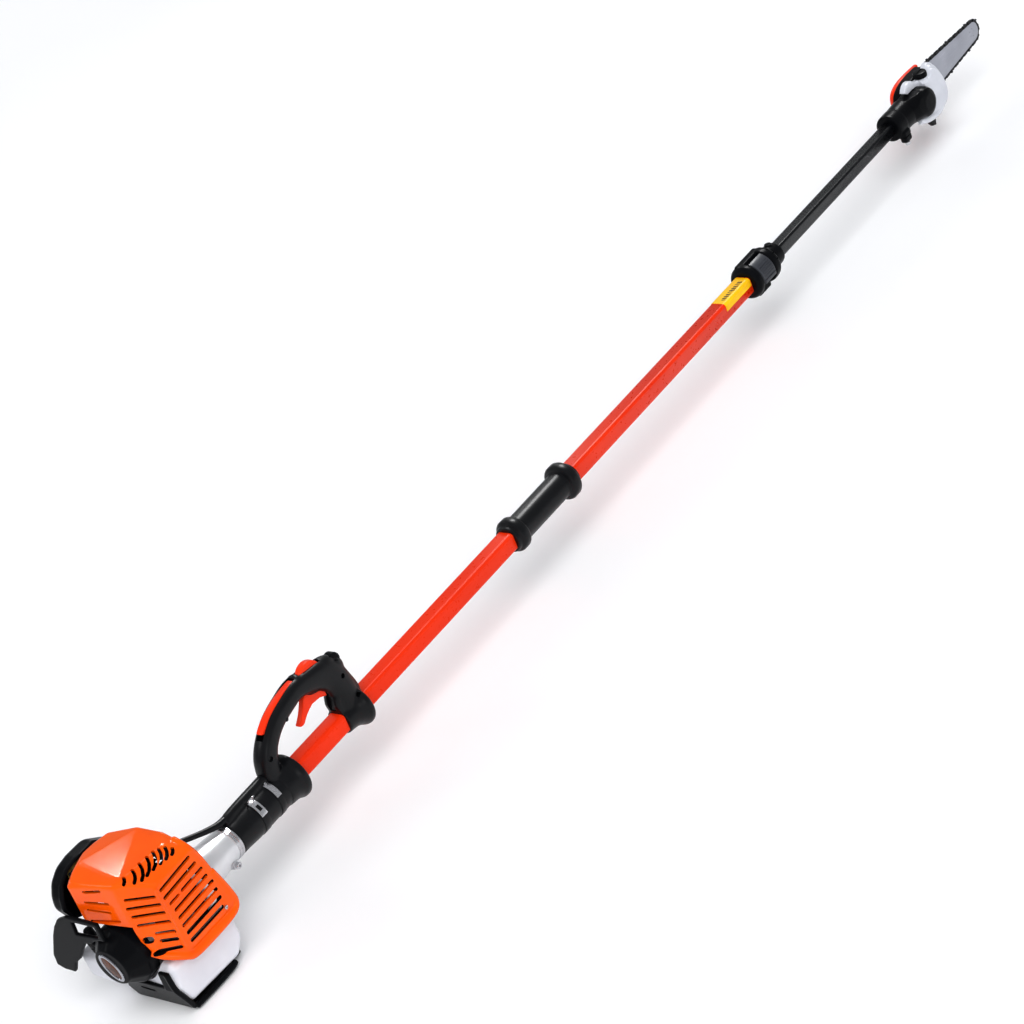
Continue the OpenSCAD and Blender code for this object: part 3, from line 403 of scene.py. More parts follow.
def ball(centre, radii):
    bm = bmesh.new()
    place = Matrix.Translation(centre) @ Matrix.Diagonal((*radii, 1))
    bmesh.ops.create_uvsphere(bm, u_segments=48, v_segments=24, radius=1, matrix=place)
    return new_object(bm)


def sheet_xz(outline, y0, y1):
    """A plate with an outline of (x, z) points."""
    bm = bmesh.new()
    face = bm.faces.new([bm.verts.new((x, y0, z)) for x, z in outline])
    pushed = bmesh.ops.extrude_face_region(bm, geom=[face])
    bmesh.ops.translate(bm, vec=(0, y1 - y0, 0), verts=[v for v in pushed["geom"]
        if isinstance(v, bmesh.types.BMVert)])
    return new_object(bm)


def sheet_yz(outline, x0, x1):
    """A plate with an outline of (y, z) points."""
    ob = sheet_xz(outline, x0, x1)
    ob.data.transform(Matrix(((0, 1, 0, 0), (1, 0, 0, 0), (0, 0, 1, 0), (0, 0, 0, 1))))
    ob.data.flip_normals()
    return ob


def rings_to_object(rings, closed=False):
    """A skin over rings of points: with capped ends, or closed from the last ring to the first."""
    bm = bmesh.new()
    loops = [[bm.verts.new(p) for p in ring] for ring in rings]
    n = len(loops[0])
    pairs = list(zip(loops, loops[1:])) + ([(loops[-1], loops[0])] if closed else [])
    for a, b in pairs:
        for k in range(n):
            bm.faces.new((a[k], a[(k + 1) % n], b[(k + 1) % n], b[k]))
    if not closed:
        bm.faces.new(loops[0][::-1])
        bm.faces.new(loops[-1])
    return new_object(bm)


def lathe(profile, origin=(0, 0, AXIS_Z), axis=(1, 0, 0), n=96, closed=False):
    """A turned solid: profile is (distance along the axis, radius)."""
    place = Matrix.Translation(origin) @ frame_on(axis)
    rings = [[place @ Vector((r * cos(w), r * sin(w), t)) for w in around(n)] for t, r in profile]
    return rings_to_object(rings, closed)


def smooth_path(points, steps=6):
    """A soft curve through the points, each a tuple of numbers of any length."""
    out = []
    pts = [tuple(2 * a - b for a, b in zip(points[0], points[1]))] + list(points)
    pts.append(tuple(2 * a - b for a, b in zip(points[-1], points[-2])))
    for i in range(1, len(pts) - 2):
        for k in range(steps):
            t = k / steps
            w = (-0.5 * t + t * t - 0.5 * t ** 3, 1 - 2.5 * t * t + 1.5 * t ** 3, 0.5 * t
                + 2 * t * t - 1.5 * t ** 3, -0.5 * t * t + 0.5 * t ** 3)
            out.append(tuple(sum(w[j] * pts[i - 1 + j][c] for j in range(4)) for c in range(len(points[0]))))
    return out + [tuple(points[-1])]


def tube(points, radius, n=16, steps=6, side=(0, 1, 0), flat=1.0):
    """A round or flattened tube on a soft curve; a fourth number of a point is its own radius."""
    path = smooth_path(points, steps)
    rings = []
    for i, p in enumerate(path):
        q = Vector(path[min(i + 1, len(path) - 1)][:3]) - Vector(path[max(i - 1, 0)][:3])
        t = q.normalized()
        u = (Vector(side) - t * t.dot(Vector(side))).normalized()
        v = t.cross(u)
        r = p[3] if len(p) > 3 else radius
        rings.append([Vector(p[:3]) + u * (r * flat * cos(w)) + v * (r * sin(w))
            for w in around(n)])
    return rings_to_object(rings)


def ribbon_loop(points):
    """A loop in the X-Z plane with a soft square section: each point is x, z, half depth, half width."""
    squareness = 2 / 2.6
    path = smooth_path(points, 7)
    rings = []
    for i, (x, z, a, b) in enumerate(path):
        p0, p1 = path[max(i - 1, 0)], path[min(i + 1, len(path) - 1)]
        t = Vector((p1[0] - p0[0], 0, p1[1] - p0[1])).normalized()
        v = Vector((-t.z, 0, t.x))
        ring = []
        for w in around(28):
            c, s = cos(w), sin(w)
            ring.append(Vector((x, 0, z)) + v * (a * copysign(abs(c) ** squareness, c))
                + Vector((0, b * copysign(abs(s) ** squareness, s), 0)))
        rings.append(ring)
    return rings_to_object(rings)


def square_pipe(x0, x1, half, corner, hole, hole_corner):
    """A rounded square tube along X with a small bevel on its outer end edges."""
    def ring(x, h, r):
        points = []
        for k, (sy, sz) in enumerate(((1, 1), (-1, 1), (-1, -1), (1, -1))):
            for i in range(9):
                w = Q * k + Q * i / 8
                points.append((x, sy * (h - r) + r * cos(w), AXIS_Z + sz * (h - r) + r * sin(w)))
        return points

    return rings_to_object([ring(x0, half - 0.4, corner), ring(x0 + 0.4, half, corner),
        ring(x1 - 0.4, half, corner), ring(x1, half - 0.4, corner), ring(x1, hole, hole_corner),
        ring(x0, hole, hole_corner)], closed=True)


def curve_2d(curves, n):
    """Points along joined Bezier curves, n to each curve."""
    out = []
    for p in curves:
        for k in range(n):
            t = k / n
            w = ((1 - t) ** 3, 3 * t * (1 - t) ** 2, 3 * t * t * (1 - t), t ** 3)
            out.append((sum(w[j] * p[j][0] for j in range(4)), sum(w[j] * p[j][1] for j in range(4))))
    return out + [tuple(curves[-1][3])]


def shrunk(outline, middle, s):
    return [(middle[0] + s * (x - middle[0]), middle[1] + s * (z - middle[1])) for x, z in outline]


def piece(ob, name, mats, body="power_unit", replaces=(), angle=32):
    """Finishes a mesh as a named piece: metres, materials, shading, its body and what it replaces."""
    mats = [mats] if isinstance(mats, str) else mats
    ob.name = name
    mesh = ob.data
    mesh.name = name
    mesh.transform(Matrix.Scale(0.001, 4))
    chosen = [f.material_index for f in mesh.polygons] if len(mats) > 1 else None
    mesh.materials.clear()
    for m in mats:
        mesh.materials.append(MATERIALS[m])
    if chosen:
        mesh.polygons.foreach_set("material_index", chosen)
    mesh.shade_smooth()
    mesh.set_sharp_from_angle(angle=radians(angle))
    mesh.update()
    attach(ob, body)
    if replaces:
        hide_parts(*replaces)


def paint(ob, index, test):
    """Gives the faces whose centre (mm) and normal pass the test another of the piece's materials."""
    for f in ob.data.polygons:
        if test(f.center, f.normal):
            f.material_index = index


def screw(head, direction, radius, name, mat="steel"):
    """A pan head with a hexagon socket, on the power unit."""
    head, direction = Vector(head), Vector(direction).normalized()
    ob = lathe([(-2.2, 0.4), (-2.2, radius * 0.9), (0.2, radius), (1.0, radius * 0.95), (1.5, radius * 0.72),
        (1.6, 0.4)], head, direction, 32)
    combine(ob, rod(head + direction * 0.5, head + direction * 3, radius * 0.5, n=6))
    piece(ob, name, mat)


# Engine

def shroud_corners(w):
    """The corners that the shroud's shell is stretched over, moved in by the wall w."""
    return [(79 - w, -83 + w, 86), (66, -80 + w, 80), (-28, -80 + w, 80), (-30 + w / 2, -88 + w, 100),
        (81 - w, -88 + w, 98), (54 - w, -88 + w, 222 - w), (-30 + w / 2, -88 + w, 222 - w),
        (-66 + w, -45, 240 - w), (-66 + w, -45, 160), (-60 + w, -54 + w, 112), (-76 + w, 45, 236 - w),
        (-76 + w, 45, 166), (-55, -50, 245 - w), (30, -60, 242 - w), (54 - w, -38, 241 - w),
        (50 - w, 8, 245 - w), (34 - w, 56, 239 - w), (-10, 68 - w, 239 - w), (-40, 48, 245 - w),
        (72 - w, 52, 170), (60, 52, 150)]


def slot_bar(a, b, r, depth_dir, depth):
    """A slot cutter with round ends from a to b, pushed both ways along depth_dir."""
    a, b, d = Vector(a), Vector(b), Vector(depth_dir).normalized()
    along = (b - a).normalized()
    across = d.cross(along).normalized()
    ring = []
    for centre, start in ((b, -Q), (a, Q)):
        for k in range(9):
            w = start + pi * k / 8
            ring.append(centre + along * (r * cos(w)) + across * (r * sin(w)))
    return rings_to_object([[p - d * depth for p in ring], [p + d * depth for p in ring]])


def shroud_slots():
    cuts = []
    ends = [(-16, 53), (-16, 57), (-17, 57), (-17, 57), (-17, 52), (-20, 50), (-24, 44), (-24, 39)]
    for k, (x0, x1) in enumerate(ends):
        z = 108.5 + 14.4 * k
        rise = 0.6 * k
        if k == 5:
            cuts.append(slot_bar((x0, -88, z), (x0 + 17, -88, z + 0.3), 2.6, (0, 1, 0), 9))
            cuts.append(slot_bar((x0 + 27, -88, z + 1.5), (x1, -88, z + rise), 3.0, (0, 1, 0), 9))
        else:
            cuts.append(slot_bar((x0, -88, z), (x1, -88, z + rise), 3.15, (0, 1, 0), 9))
    side = Vector((-43, -36, 0)).normalized()
    rows = [(-60, -52, 214, -36, -81, 205), (-62, -50, 199, -35, -83, 190), (-61, -51, 183.5, -34, -83, 175),
        (-60, -52, 167, -33, -84, 158), (-49, -66, 145, -33, -84, 140), (-48, -67, 131, -34, -83, 126),
        (-58, -55, 117, -34, -83, 111)]
    for x0, y0, z0, x1, y1, z1 in rows:
        cuts.append(slot_bar((x0, y0, z0), (x1, y1, z1), 2.95, side, 9))
    hole = Vector((-58.5, -54.5, 139))
    cuts.append(slot_bar(hole + Vector((-1.5, 1.9, 0.5)), hole + Vector((1.5, -1.9, -0.5)), 6.0, side, 9))
    rear = [(15, 226, -16, 231, 2.5), (22, 206, -20, 208, 2.5), (24, 192, -16, 191, 2.0),
        (28, 171, -26, 176, 2.0)]
    for y0, z0, y1, z1, r in rear:
        cuts.append(slot_bar((-71, y0, z0), (-67, y1, z1), r, (1, 0.06, 0), 9))
    upper = [(-46, -52, 244, -53, -57, 241), (-29, -53.5, 243.6, -43, -66, 235.5),
        (-14.5, -54.5, 243.5, -34, -71, 232.5), (0, -56, 243, -23.5, -72, 232.2),
        (12, -57.5, 242.8, -10.5, -73, 232.2), (20.5, -60.5, 241.3, 3, -74.5, 231.6),
        (27.6, -65.6, 238.4, 14, -76, 231.3), (33, -72.5, 233.5, 25, -77.5, 230.9)]
    out = Vector((-0.02, -0.52, 0.85))
    for x0, y0, z0, x1, y1, z1 in upper:
        a, b = Vector((x0, y0, z0)), Vector((x1, y1, z1))
        sag = Vector((0.5, -0.6, -0.35)).normalized() * (0.13 * (b - a).length)
        points = [a, a.lerp(b, 0.33) + sag * 0.85, a.lerp(b, 0.7) + sag * 0.8, b]
        for p, q in zip(points, points[1:]):
            cuts.append(slot_bar(p, q, 2.6, out, 11))
    return cuts


def shroud():
    outer = bevel(hull(shroud_corners(0)), 11, 5, 10)
    lip = tube([(-62, -52, 118), (-52, -66, 106), (-32, -83, 92), (-18, -85, 85), (20, -85.5, 83.5),
        (60, -85, 84), (75, -84, 88), (80, -83.5, 97), (78.5, -83.5, 112), (72, -83.5, 140),
        (65, -83.5, 165)], 6.2, 20)
    brow = tube([(65, -83, 165), (60, -83, 190), (55, -82, 210), (50, -76, 226), (49, -60, 235)], 4.6, 20)
    rib = tube([(-31, -86.5, 218), (-31, -86.8, 170), (-31, -86.6, 110)], 2.4, 12)
    body = melted(merged(outer, lip, brow, rib), 1.35, 5)
    cut(body, bevel(hull(shroud_corners(4.5)), 8, 3, 10), block((-100, -110, 40), (100, 110, 79)),
        block((-48, 30, 60), (120, 120, 206)), block((-48, 61, 200), (120, 120, 300)),
        block((-110, -44, 60), (-56, 80, 167)), bar_x(20, 125, 56.5), bar_x(-112, -42, 51.8), *shroud_slots())
    # Painted shade: faces turned towards the engine (the shell's inside and the slot walls) take the
    # near-black slot material instead of orange, so the slots and gaps show as dark shade
    heart = Vector((0, -8, 160))
    inside = [(heart - f.center).normalized().dot(f.normal) > 0.3 for f in body.data.polygons]
    body.data.materials.append(MATERIALS["orange_shell"])
    body.data.materials.append(MATERIALS["slot_painted_shade"])
    body.data.polygons.foreach_set("material_index", [int(in_painted_shade) for in_painted_shade in inside])
    piece(body, "shroud_cover", ["orange_shell", "slot_painted_shade"], replaces=["engine_shroud"], angle=38)
    screw((58, -89.2, 104), (0, -1, 0), 3.2, "shroud_screw_front")


def filter_cover():
    ring = [(-82, 187), (-72, 164), (-50, 154), (18, 154), (40, 170), (44, 216), (12, 238), (-24, 239),
        (-48, 235), (-68, 222), (-78, 204)]
    middle = (-18, 198)

    def stretched(rows):
        return hull([(x, y, z) for y, s in rows for x, z in shrunk(ring, middle, s)])

    shell = bevel(stretched(((67, 1.0), (90, 1.0), (98, 0.84))), 6, 4, 12)
    raised = bevel(sheet_xz(shrunk(ring, middle, 0.62), 94, 99.6), 2.4, 3)
    rim = bevel(sheet_xz(shrunk(ring, middle, 1.012), 68.5, 73), 1.4, 2)
    shell = merged(shell, raised, rim)
    shell = melted(shell, 1.6, 3)
    combine(shell, stretched(((60, 0.93), (86, 0.93), (94, 0.78))))
    piece(shell, "filter_cover", "black_plastic", replaces=["air_filter_cover"])
    knob = lathe([(0, 0.5), (0, 9), (5, 8.6), (7, 7), (7.5, 0.5)], (-18, 99, 198), (0, 1, 0), 12)
    piece(bevel(knob, 0.8, 2), "filter_cover_knob", "black_plastic")


def starter():
    dome = rod((-97, 0, AXIS_Z), (-73, 0, AXIS_Z), 31, 50.5, 12, radians(15))
    skirt = rod((-73.5, 0, AXIS_Z), (-51, 0, AXIS_Z), 50.3, 50.3, 12, radians(15))
    boss = lathe([(0, 0.5), (0, 29.5), (1.2, 31), (10, 33), (10, 0.5)], (-98.2, 0, AXIS_Z), n=72)
    neck = rod_y(-68, 122, 30, 55, 9.5, 8.5, 32)
    body = melted(merged(bevel(dome, 3, 3, 12), bevel(skirt, 2, 2, 12), boss, neck), 1.25, 4)
    dome_room = lathe([(0, 0.5), (0, 44), (20, 27), (20, 0.5)], (-72.5, 0, AXIS_Z), (-1, 0, 0), 64)
    cut(body, bar_x(-72, -49, 44.5), dome_room, rod_y(-68, 122, 28, 58, 3.2))
    post = bar_x(-92.5, -62, 5.9)
    piece(merged(body, post), "starter_cover", "black_plastic", replaces=["starter_housing"], angle=35)
    tilt = radians(30)
    long_way = Vector((0, sin(tilt), cos(tilt)))
    short_way = Vector((0, cos(tilt), -sin(tilt)))
    centre = Vector((-98.6, 0, AXIS_Z))

    def oval(a, b, x):
        return [centre + Vector((x, 0, 0)) + long_way * (a * cos(w)) + short_way * (b * sin(w))
            for w in around(72)]

    rim = rings_to_object([oval(25.5, 15.2, 0.6), oval(25.5, 15.2, -0.9), oval(24.4, 14.1, -1.8),
        oval(21.2, 11.4, -1.8), oval(20.4, 10.7, -0.7), oval(20.4, 10.7, 0.6)], closed=True)
    piece(rim, "badge_rim", "badge_grey", replaces=["starter_badge"])
    core = rings_to_object([oval(20.6, 10.9, 0.4), oval(20.6, 10.9, -0.6), oval(14, 7, -1.15),
        oval(5, 2.4, -1.35)])
    piece(core, "badge_core", "badge_core")
    bar = [(-68, 60, z, r) for z, r in ((100, 5.6), (112, 7.2), (122, 7.6), (132, 7.2), (144, 6.0))]
    grip = merged(tube(bar, 7, 20, side=(1, 0, 0), flat=1.28), ball((-68, 61, 122), (10, 9, 13)))
    grip = melted(grip, 1.2, 5)
    groove = [(-1, 7.4), (-1, 14), (1, 14), (1, 7.4)]
    for z in (107, 112, 132, 137):
        combine(grip, lathe(groove, (-68, 60, z), (0, 0, 1), 32, closed=True))
    piece(merged(grip, rod_y(-68, 122, 36, 56, 1.9, n=20)), "starter_handle", "black_rubber", "starter_pull",
        ["starter_grip"])


def bumper():
    plate = [(-4, 150), (14, 146), (44, 140), (58, 124), (74, 104), (91, 92), (104, 71), (126, 72), (139, 78),
        (136, 98), (127, 114), (112, 140), (98, 160), (82, 177), (60, 187), (-4, 186)]
    window = [(6, 158), (54, 155), (50, 179), (4, 179)]
    body = sheet_yz(plate, -92, -86)
    cut(body, sheet_yz(window, -95, -80), bar_x(-99, -84, 43.5))
    strip = ribbon_yz([(92, 161), (104, 150), (113, 136), (120, 122), (127, 110), (131, 98), (133, 81)], 3.4,
        -87, -79.2)
    body = melted(merged(bevel(body, 1.2, 2), strip), 1.25, 4)
    piece(body, "side_guard", "black_plastic", replaces=["side_bumper"])


def ribbon_yz(points, half, x0, x1):
    path = smooth_path(points, 5)
    left, right = [], []
    for i, p in enumerate(path):
        a, b = path[max(i - 1, 0)], path[min(i + 1, len(path) - 1)]
        n = Vector((-(b[1] - a[1]), b[0] - a[0])).normalized() * half
        left.append((p[0] + n.x, p[1] + n.y))
        right.append((p[0] - n.x, p[1] - n.y))
    return sheet_yz(left + right[::-1], x0, x1)


def tank():
    points = [(-46, -67, 24), (-34, 52, 20), (52, -68, 19), (66, -67.5, 36), (72, 84, 30), (-54, -65, 82),
        (-58, -66, 52), (68, -66, 80), (74, 88, 78), (-48, 88, 84), (-44, 84, 30)]
    lobe = [(-65, 74, 84), (-65, 99, 84), (-64, 99, 50), (-62, 54, 42), (-58, 86, 44), (-20, 99, 84),
        (-20, 96, 40)]

    ways = ((1, 0, 0), (-1, 0, 0), (0, 1, 0), (0, -1, 0), (0, 0, 1), (0, 0, -1))

    def grown(pts, r):
        return hull([Vector(p) + Vector(d) * r for p in pts for d in ways])

    body = merged(melted(grown(points, 8.6), 1.9, 8), melted(grown(lobe, 8.8), 2.0, 8),
        rod_y(40, 62, 88, 106, 14.5))
    body = melted(body, 1.6, 3)
    cut(body, bar_x(-100, 100, 53.6), rod_y(40, 62, 98, 110, 11.2))
    piece(body, "fuel_tank_body", "tank_white", replaces=["fuel_tank"], angle=50)
    cap = lathe([(0, 0.5), (0, 17.4), (3, 18.2), (16, 18.2), (19, 16.6), (20, 13), (20, 0.5)],
        (40, 100.2, 62), (0, 1, 0), 96)
    for w in around(18):
        x, z = 40 + 19 * cos(w), 62 + 19 * sin(w)
        combine(cap, rod_y(x, z, 103, 123, 1.5, n=12))
    cut(cap, rod_y(40, 62, 99, 106.6, 14.8), block((26, 118, 60), (54, 123, 64)))
    piece(bevel(cap, 0.5, 2, 40), "fuel_filler_cap", "black_plastic", "filler_cap", ["fuel_cap"])


def guard():
    plate = sheet_xz([(-51, 2.6), (-44, 2.6), (-63, 56.5), (-70, 56.5)], -66, 47)
    combine(plate, sheet_yz([(47, 30), (26, 58), (60, 58)], -90, -30))
    fin_outline = ((-71, 52), (-64, 50), (-64, 86), (-70, 86))
    fin = hull([(x, y, z) for x, z in fin_outline for y in (-68, -51.4)])
    parts = [block((-46, -62, 2.5), (43, 66, 9)), plate, block((43, -62, 4), (66, -50, 9)),
        block((43, 52, 4), (66, 69, 9)), block((-46, -73, 3), (40, -60, 9)),
        block((-36, -46, 0), (40, 56, 4)), fin]
    upright = tube([(-49, -68, 7), (-55, -70, 22), (-62, -71, 40), (-67, -70, 56), (-67, -67, 84)], 4.4, 14)
    lower_rim = tube([(-48, -71, 7), (0, -72.5, 6.5), (32, -72.5, 7), (44, -71, 9)], 4.6, 14)
    body = melted(merged(*[bevel(p, 1.6, 2) for p in parts], upright, lower_rim), 1.4, 4)
    combine(body, slot_bar((-60, -14, 38), (-60, 8, 40), 3.4, (1, 0, 0.36), 14))
    for k in range(3):
        combine(body, block((-36 + 26 * k, -44, -1), (-20 + 26 * k, 48, 4)))
    for x in (-30, 30):
        for y in (-50, 56):
            combine(body, rod((x, y, -1), (x, y, 11), 2.6, n=24))
    piece(body, "tank_skid", "black_plastic", replaces=["tank_guard"])


def clutch_cone():
    profile = [(36, 0.5), (36, 51.5), (36.6, 52), (55, 52), (57, 51.6), (63, 50), (70, 48.6), (77, 46.4),
        (84, 43.4), (94, 39.6), (104, 36.5), (116, 33.6), (128, 31.5), (140, 30), (150, 28.9), (160, 27.5),
        (163.4, 27.2), (164, 27.3), (164.4, 28.5), (168.6, 28.7), (169, 28.2), (169.8, 28.2), (170.2, 28.7),
        (174.4, 28.6), (175, 28.1), (175, 0.5)]
    body = lathe(profile, n=144)
    corners = [radians(45 + 90 * k) for k in range(4)]
    bolts_at = [(-sin(w) * 57, AXIS_Z + cos(w) * 57) for w in corners]
    for y, z in bolts_at:
        combine(body, rod((36, y, z), (44, y, z), 7.4, 6.8, 40), "UNION")
        combine(body, rod((34, y, z), (46, y, z), 2.5, n=24))
    combine(body, rod_y(150, AXIS_Z - 20, -26.5, -14, 7, 8.5, 40), "UNION")
    cut(body, lathe([(35, 0.5), (35, 46), (62, 46), (84, 34), (90, 17), (121.5, 12.2), (121.5, 0.5)]),
        square_bore(121, 177), block((37, -16, AXIS_Z + 42), (52, 16, AXIS_Z + 60)))
    body = bevel(body, 0.5, 2, 40)
    for name in ("cast_alloy", "steel", "fin_alloy"):
        body.data.materials.append(MATERIALS[name])
    paint(body, 1, lambda c, n: c.x > 164.2)
    # Painted shade: the cone's rear end, deep in the shroud's opening, takes the dark fin_alloy instead of
    # the bright cast alloy
    paint(body, 2, lambda c, n: c.x < 50)
    piece(body, "clutch_cone", ["cast_alloy", "steel", "fin_alloy"], replaces=["clutch_housing"])
    bolts = []
    for y, z in bolts_at:
        head = lathe([(36.2, 0.5), (36.2, 2.35), (44.1, 2.35), (44.1, 4.6), (44.8, 5.2), (47.2, 5.2),
            (48, 4.4), (48, 0.5)], (0, y, z), n=40)
        combine(head, rod((45.4, y, z), (49, y, z), 2.4, n=6))
        bolts.append(head)
    head = lathe([(-12, 0.5), (-12, 2.8), (0.2, 2.8), (0.2, 5.0), (4.2, 5.0), (5, 4.2), (5, 0.5)],
        (150, -26.6, AXIS_Z - 20), (0, -1, 0), 40)
    combine(head, rod_y(150, AXIS_Z - 20, -29.5, -34, 2.4, n=6))
    piece(merged(head, *bolts), "housing_screws", "steel", replaces=["housing_bolts"])


# Rear grip and handle

def rear_grip():
    sleeve = lathe([(175.2, 24), (175.2, 27.6), (177, 28.4), (190, 28.6), (205, 29.6), (216, 30.2),
        (296, 30.2), (296, 24)])
    channel = tube([(178, 0, 141.5, 6.5), (190, 0, 142.4, 7.8), (215, 0, 143, 8.4), (260, 0, 143, 8.6),
        (296, 0, 143, 9)], 8, 24)
    web = block((180, -8.5, AXIS_Z + 20), (296, 8.5, AXIS_Z + 32))
    body = melted(merged(sleeve, channel, web), 1.3, 10)
    cut(body, block((296, -60, 50), (310, 60, 170)), square_bore(170, 300))
    piece(body, "rubber_sleeve", "black_rubber", replaces=["rear_grip"])


def arc_strip(x0, x1, r, thick, start, end, steps=24):
    """A curved plate round the pole, its angles measured from the top towards -Y."""
    outer, edge = r + thick, r + thick * 0.8
    section = ((x0, r), (x1, r), (x1, edge), (x1 - 0.6, outer), (x0 + 0.6, outer), (x0, edge))
    rings = []
    for k in range(steps + 1):
        w = radians(start + (end - start) * k / steps)
        out = Vector((0, -sin(w), cos(w)))
        base = Vector((0, 0, AXIS_Z))
        rings.append([base + out * radius + Vector((x, 0, 0)) for x, radius in section])
    return rings_to_object(rings)


def bands():
    strap = arc_strip(263.5, 274.5, STRAP_R, 1.0, 18, 342, 60)
    piece(strap, "band_strap", "black_rubber", replaces=["band_clamp"])
    clasp = merged(arc_strip(264, 274, 31.0, 1.3, 16, 68), arc_strip(265.4, 272.6, 31.9, 1.0, 18, 27),
        arc_strip(265.8, 272.2, 31.9, 0.8, 54, 66))
    piece(clasp, "band_clasp", "steel")
    piece(arc_strip(223, 237, STRAP_R, 1.0, 18, 342, 60), "hanger_strap", "black_rubber",
        replaces=["harness_ring"])
    plate = arc_strip(223.5, 236.5, 31.0, 1.4, 18, 74)
    combine(plate, arc_strip(227, 233, 28, 9, 40, 58))
    piece(bevel(plate, 0.3, 2, 40), "hanger_clasp", "steel")
    top = Vector((230, -12, AXIS_Z + 31))
    loop = []
    for k in range(25):
        w = 2 * pi * k / 24
        loop.append(tuple(top + Vector((7.5 * cos(w), -4.5 * sin(w) - 2, 5.0 * sin(w) + 3.2))))
    piece(tube(loop, 1.25, 12, 3, side=(1, 0, 0)), "hanger_eye", "steel")
    screw((268.5, -10.5, AXIS_Z + 32.2), (0, -0.3, 1), 2.6, "band_screw")


LOOP = [(298, 104, 16, 17), (293, 126, 18, 17), (292, 146, 18.2, 17), (297, 166, 17.6, 16.8),
    (311, 185, 16.6, 16.2), (336, 202.5, 16.6, 16.2), (368, 212.4, 16.6, 16.6), (396, 217, 16.8, 17),
    (424, 211, 19, 17.6), (450, 201, 24, 18), (468, 184, 26, 18.4), (476, 160, 25.6, 18.6),
    (477, 136, 25, 19.4), (476, 112, 23, 21)]


def handle():
    loop = ribbon_loop(LOOP)
    head = ball((446, 0, 204), (42, 17.5, 22))
    brow = ball((477, 0, 190), (23, 15.5, 22))
    hump = ball((406, 0, 219), (11, 15.5, 17))
    rear = lathe([(288, 16), (288, 31), (294, 32), (306, 33.2), (313, 35.2), (317.5, 38), (321, 39.2),
        (325.5, 39.2), (328, 37.6), (328.6, 34), (328.6, 16)])
    front = lathe([(450, 16), (450, 22.6), (460, 23.4), (470, 25), (478, 28.6), (484, 33), (488, 35.6),
        (493, 36.2), (496.4, 34.6), (497, 31), (497, 16)])
    web_corners = [(452, 15, 116), (500, 17, 118), (508, 9, 140), (498, 13, 176), (452, 15, 160),
        (446, 13, 146)]
    root_corners = [(284, 13, 120), (316, 13, 118), (312, 15, 140), (280, 13, 146), (322, 16, 124)]
    web, root = (hull([(x, s * y, z) for s in (-1, 1) for x, y, z in corners])
        for corners in (web_corners, root_corners))
    body = melted(merged(loop, head, brow, hump, rear, front, bevel(web, 5, 2), bevel(root, 4, 2)), 1.5, 9)
    lever_well = [(300, 186), (316, 193), (345, 205), (402, 208), (401, 246), (350, 252), (296, 236)]
    switch_well = [(408, 208), (460, 206), (458, 246), (412, 246)]
    trigger_well = [(372, 196), (372, 176), (450, 132), (462, 200), (400, 206)]
    cut(body, square_bore(200, 600, 16.1), bar_x(200, 296.2, 30.3), block((200, -9, AXIS_Z), (296.2, 9, 144)),
        bar_x(200, 296.2, 9.2, z=143.0), sheet_xz(lever_well, -6.8, 6.8), sheet_xz(switch_well, -6.8, 6.8),
        sheet_xz(trigger_well, -6.2, 6.2), rod_y(484, 203, -7.6, 7.6, 13.8))
    holes = ((293, 170), (352, 197), (478, 180), (488, 136))
    for sign, name in ((1, "left"), (-1, "right")):
        half = body.copy()
        half.data = body.data.copy()
        SCENE.collection.objects.link(half)
        combine(half, block((200, -100 if sign > 0 else -0.12, 0), (600, 0.12 if sign > 0 else 100, 300)))
        for x, z in holes:
            combine(half, rod_y(x, z, sign * 13.4, sign * 24, 4.2, n=32))
        piece(half, f"handle_shell_{name}", "black_rubber", replaces=[f"handle_{name}"], angle=45)
        for i, (x, z) in enumerate(holes):
            screw((x, sign * 12.8, z), (0, sign, 0), 3.4, f"handle_screw_{name}_{i}", mat="chain_black")
    bpy.data.objects.remove(body)


def handle_controls():
    trigger = curve_2d([((428, 198), (412, 203), (402, 198), (398, 188)),
        ((398, 188), (391, 178), (385, 171), (374, 163)), ((374, 163), (379, 158), (385, 159), (389, 163)),
        ((389, 163), (396, 169), (404, 172), (414, 175))], 7)
    trigger += [(432, 173), (446, 166), (445, 184)]
    ob = bevel(sheet_xz(trigger, -5.4, 5.4), 2.1, 4, 25)
    combine(ob, rod_y(424, 192, -8, 8, 2.2, n=24))
    piece(ob, "trigger_blade", "orange_plastic", "trigger", ["throttle_trigger"])
    lever = [(399, 217), (401, 228)] + curve_2d([((398, 232.5), (366, 232), (328, 226.5), (302.5, 205))], 12)
    lever += curve_2d([((309, 201), (334, 213), (360, 214), (386, 215))], 8)
    ob = bevel(sheet_xz(lever, -6.3, 6.3), 2.6, 4, 25)
    combine(ob, rod_y(392, 222, -8, 8, 2.2, n=24))
    for k in range(9):
        x = 352 + 4.2 * k
        z = 232.2 - 0.0012 * (388 - x) ** 2
        combine(ob, rod_y(x, z, -9, 9, 0.9, n=12))
    piece(ob, "safety_lever", "orange_plastic", "lockout", ["lockout_lever"])
    hump = [(412, 218)] + curve_2d([((412, 227), (420, 243), (446, 243), (456, 222))], 10) + [(456, 216)]
    ob = merged(bevel(sheet_xz(hump, -6.4, 6.4), 2.6, 4, 25), rod_y(434, 220, -8.4, 8.4, 1.95, n=24))
    piece(ob, "stop_rocker", "orange_plastic", "switch", ["stop_switch"])
    knob = rod_y(484, 203, -7, 7, 12.9, n=96)
    knob = bevel(knob, 1.2, 3)
    for w in around(22):
        x, z = 484 + 13.3 * cos(w), 203 + 13.3 * sin(w)
        combine(knob, rod_y(x, z, -9, 9, 0.95, n=12))
    piece(merged(knob, rod_y(484, 203, -11.4, 11.4, 2.9, n=32)), "lock_wheel", "black_plastic", "lock_knob",
        ["throttle_lock_knob"])


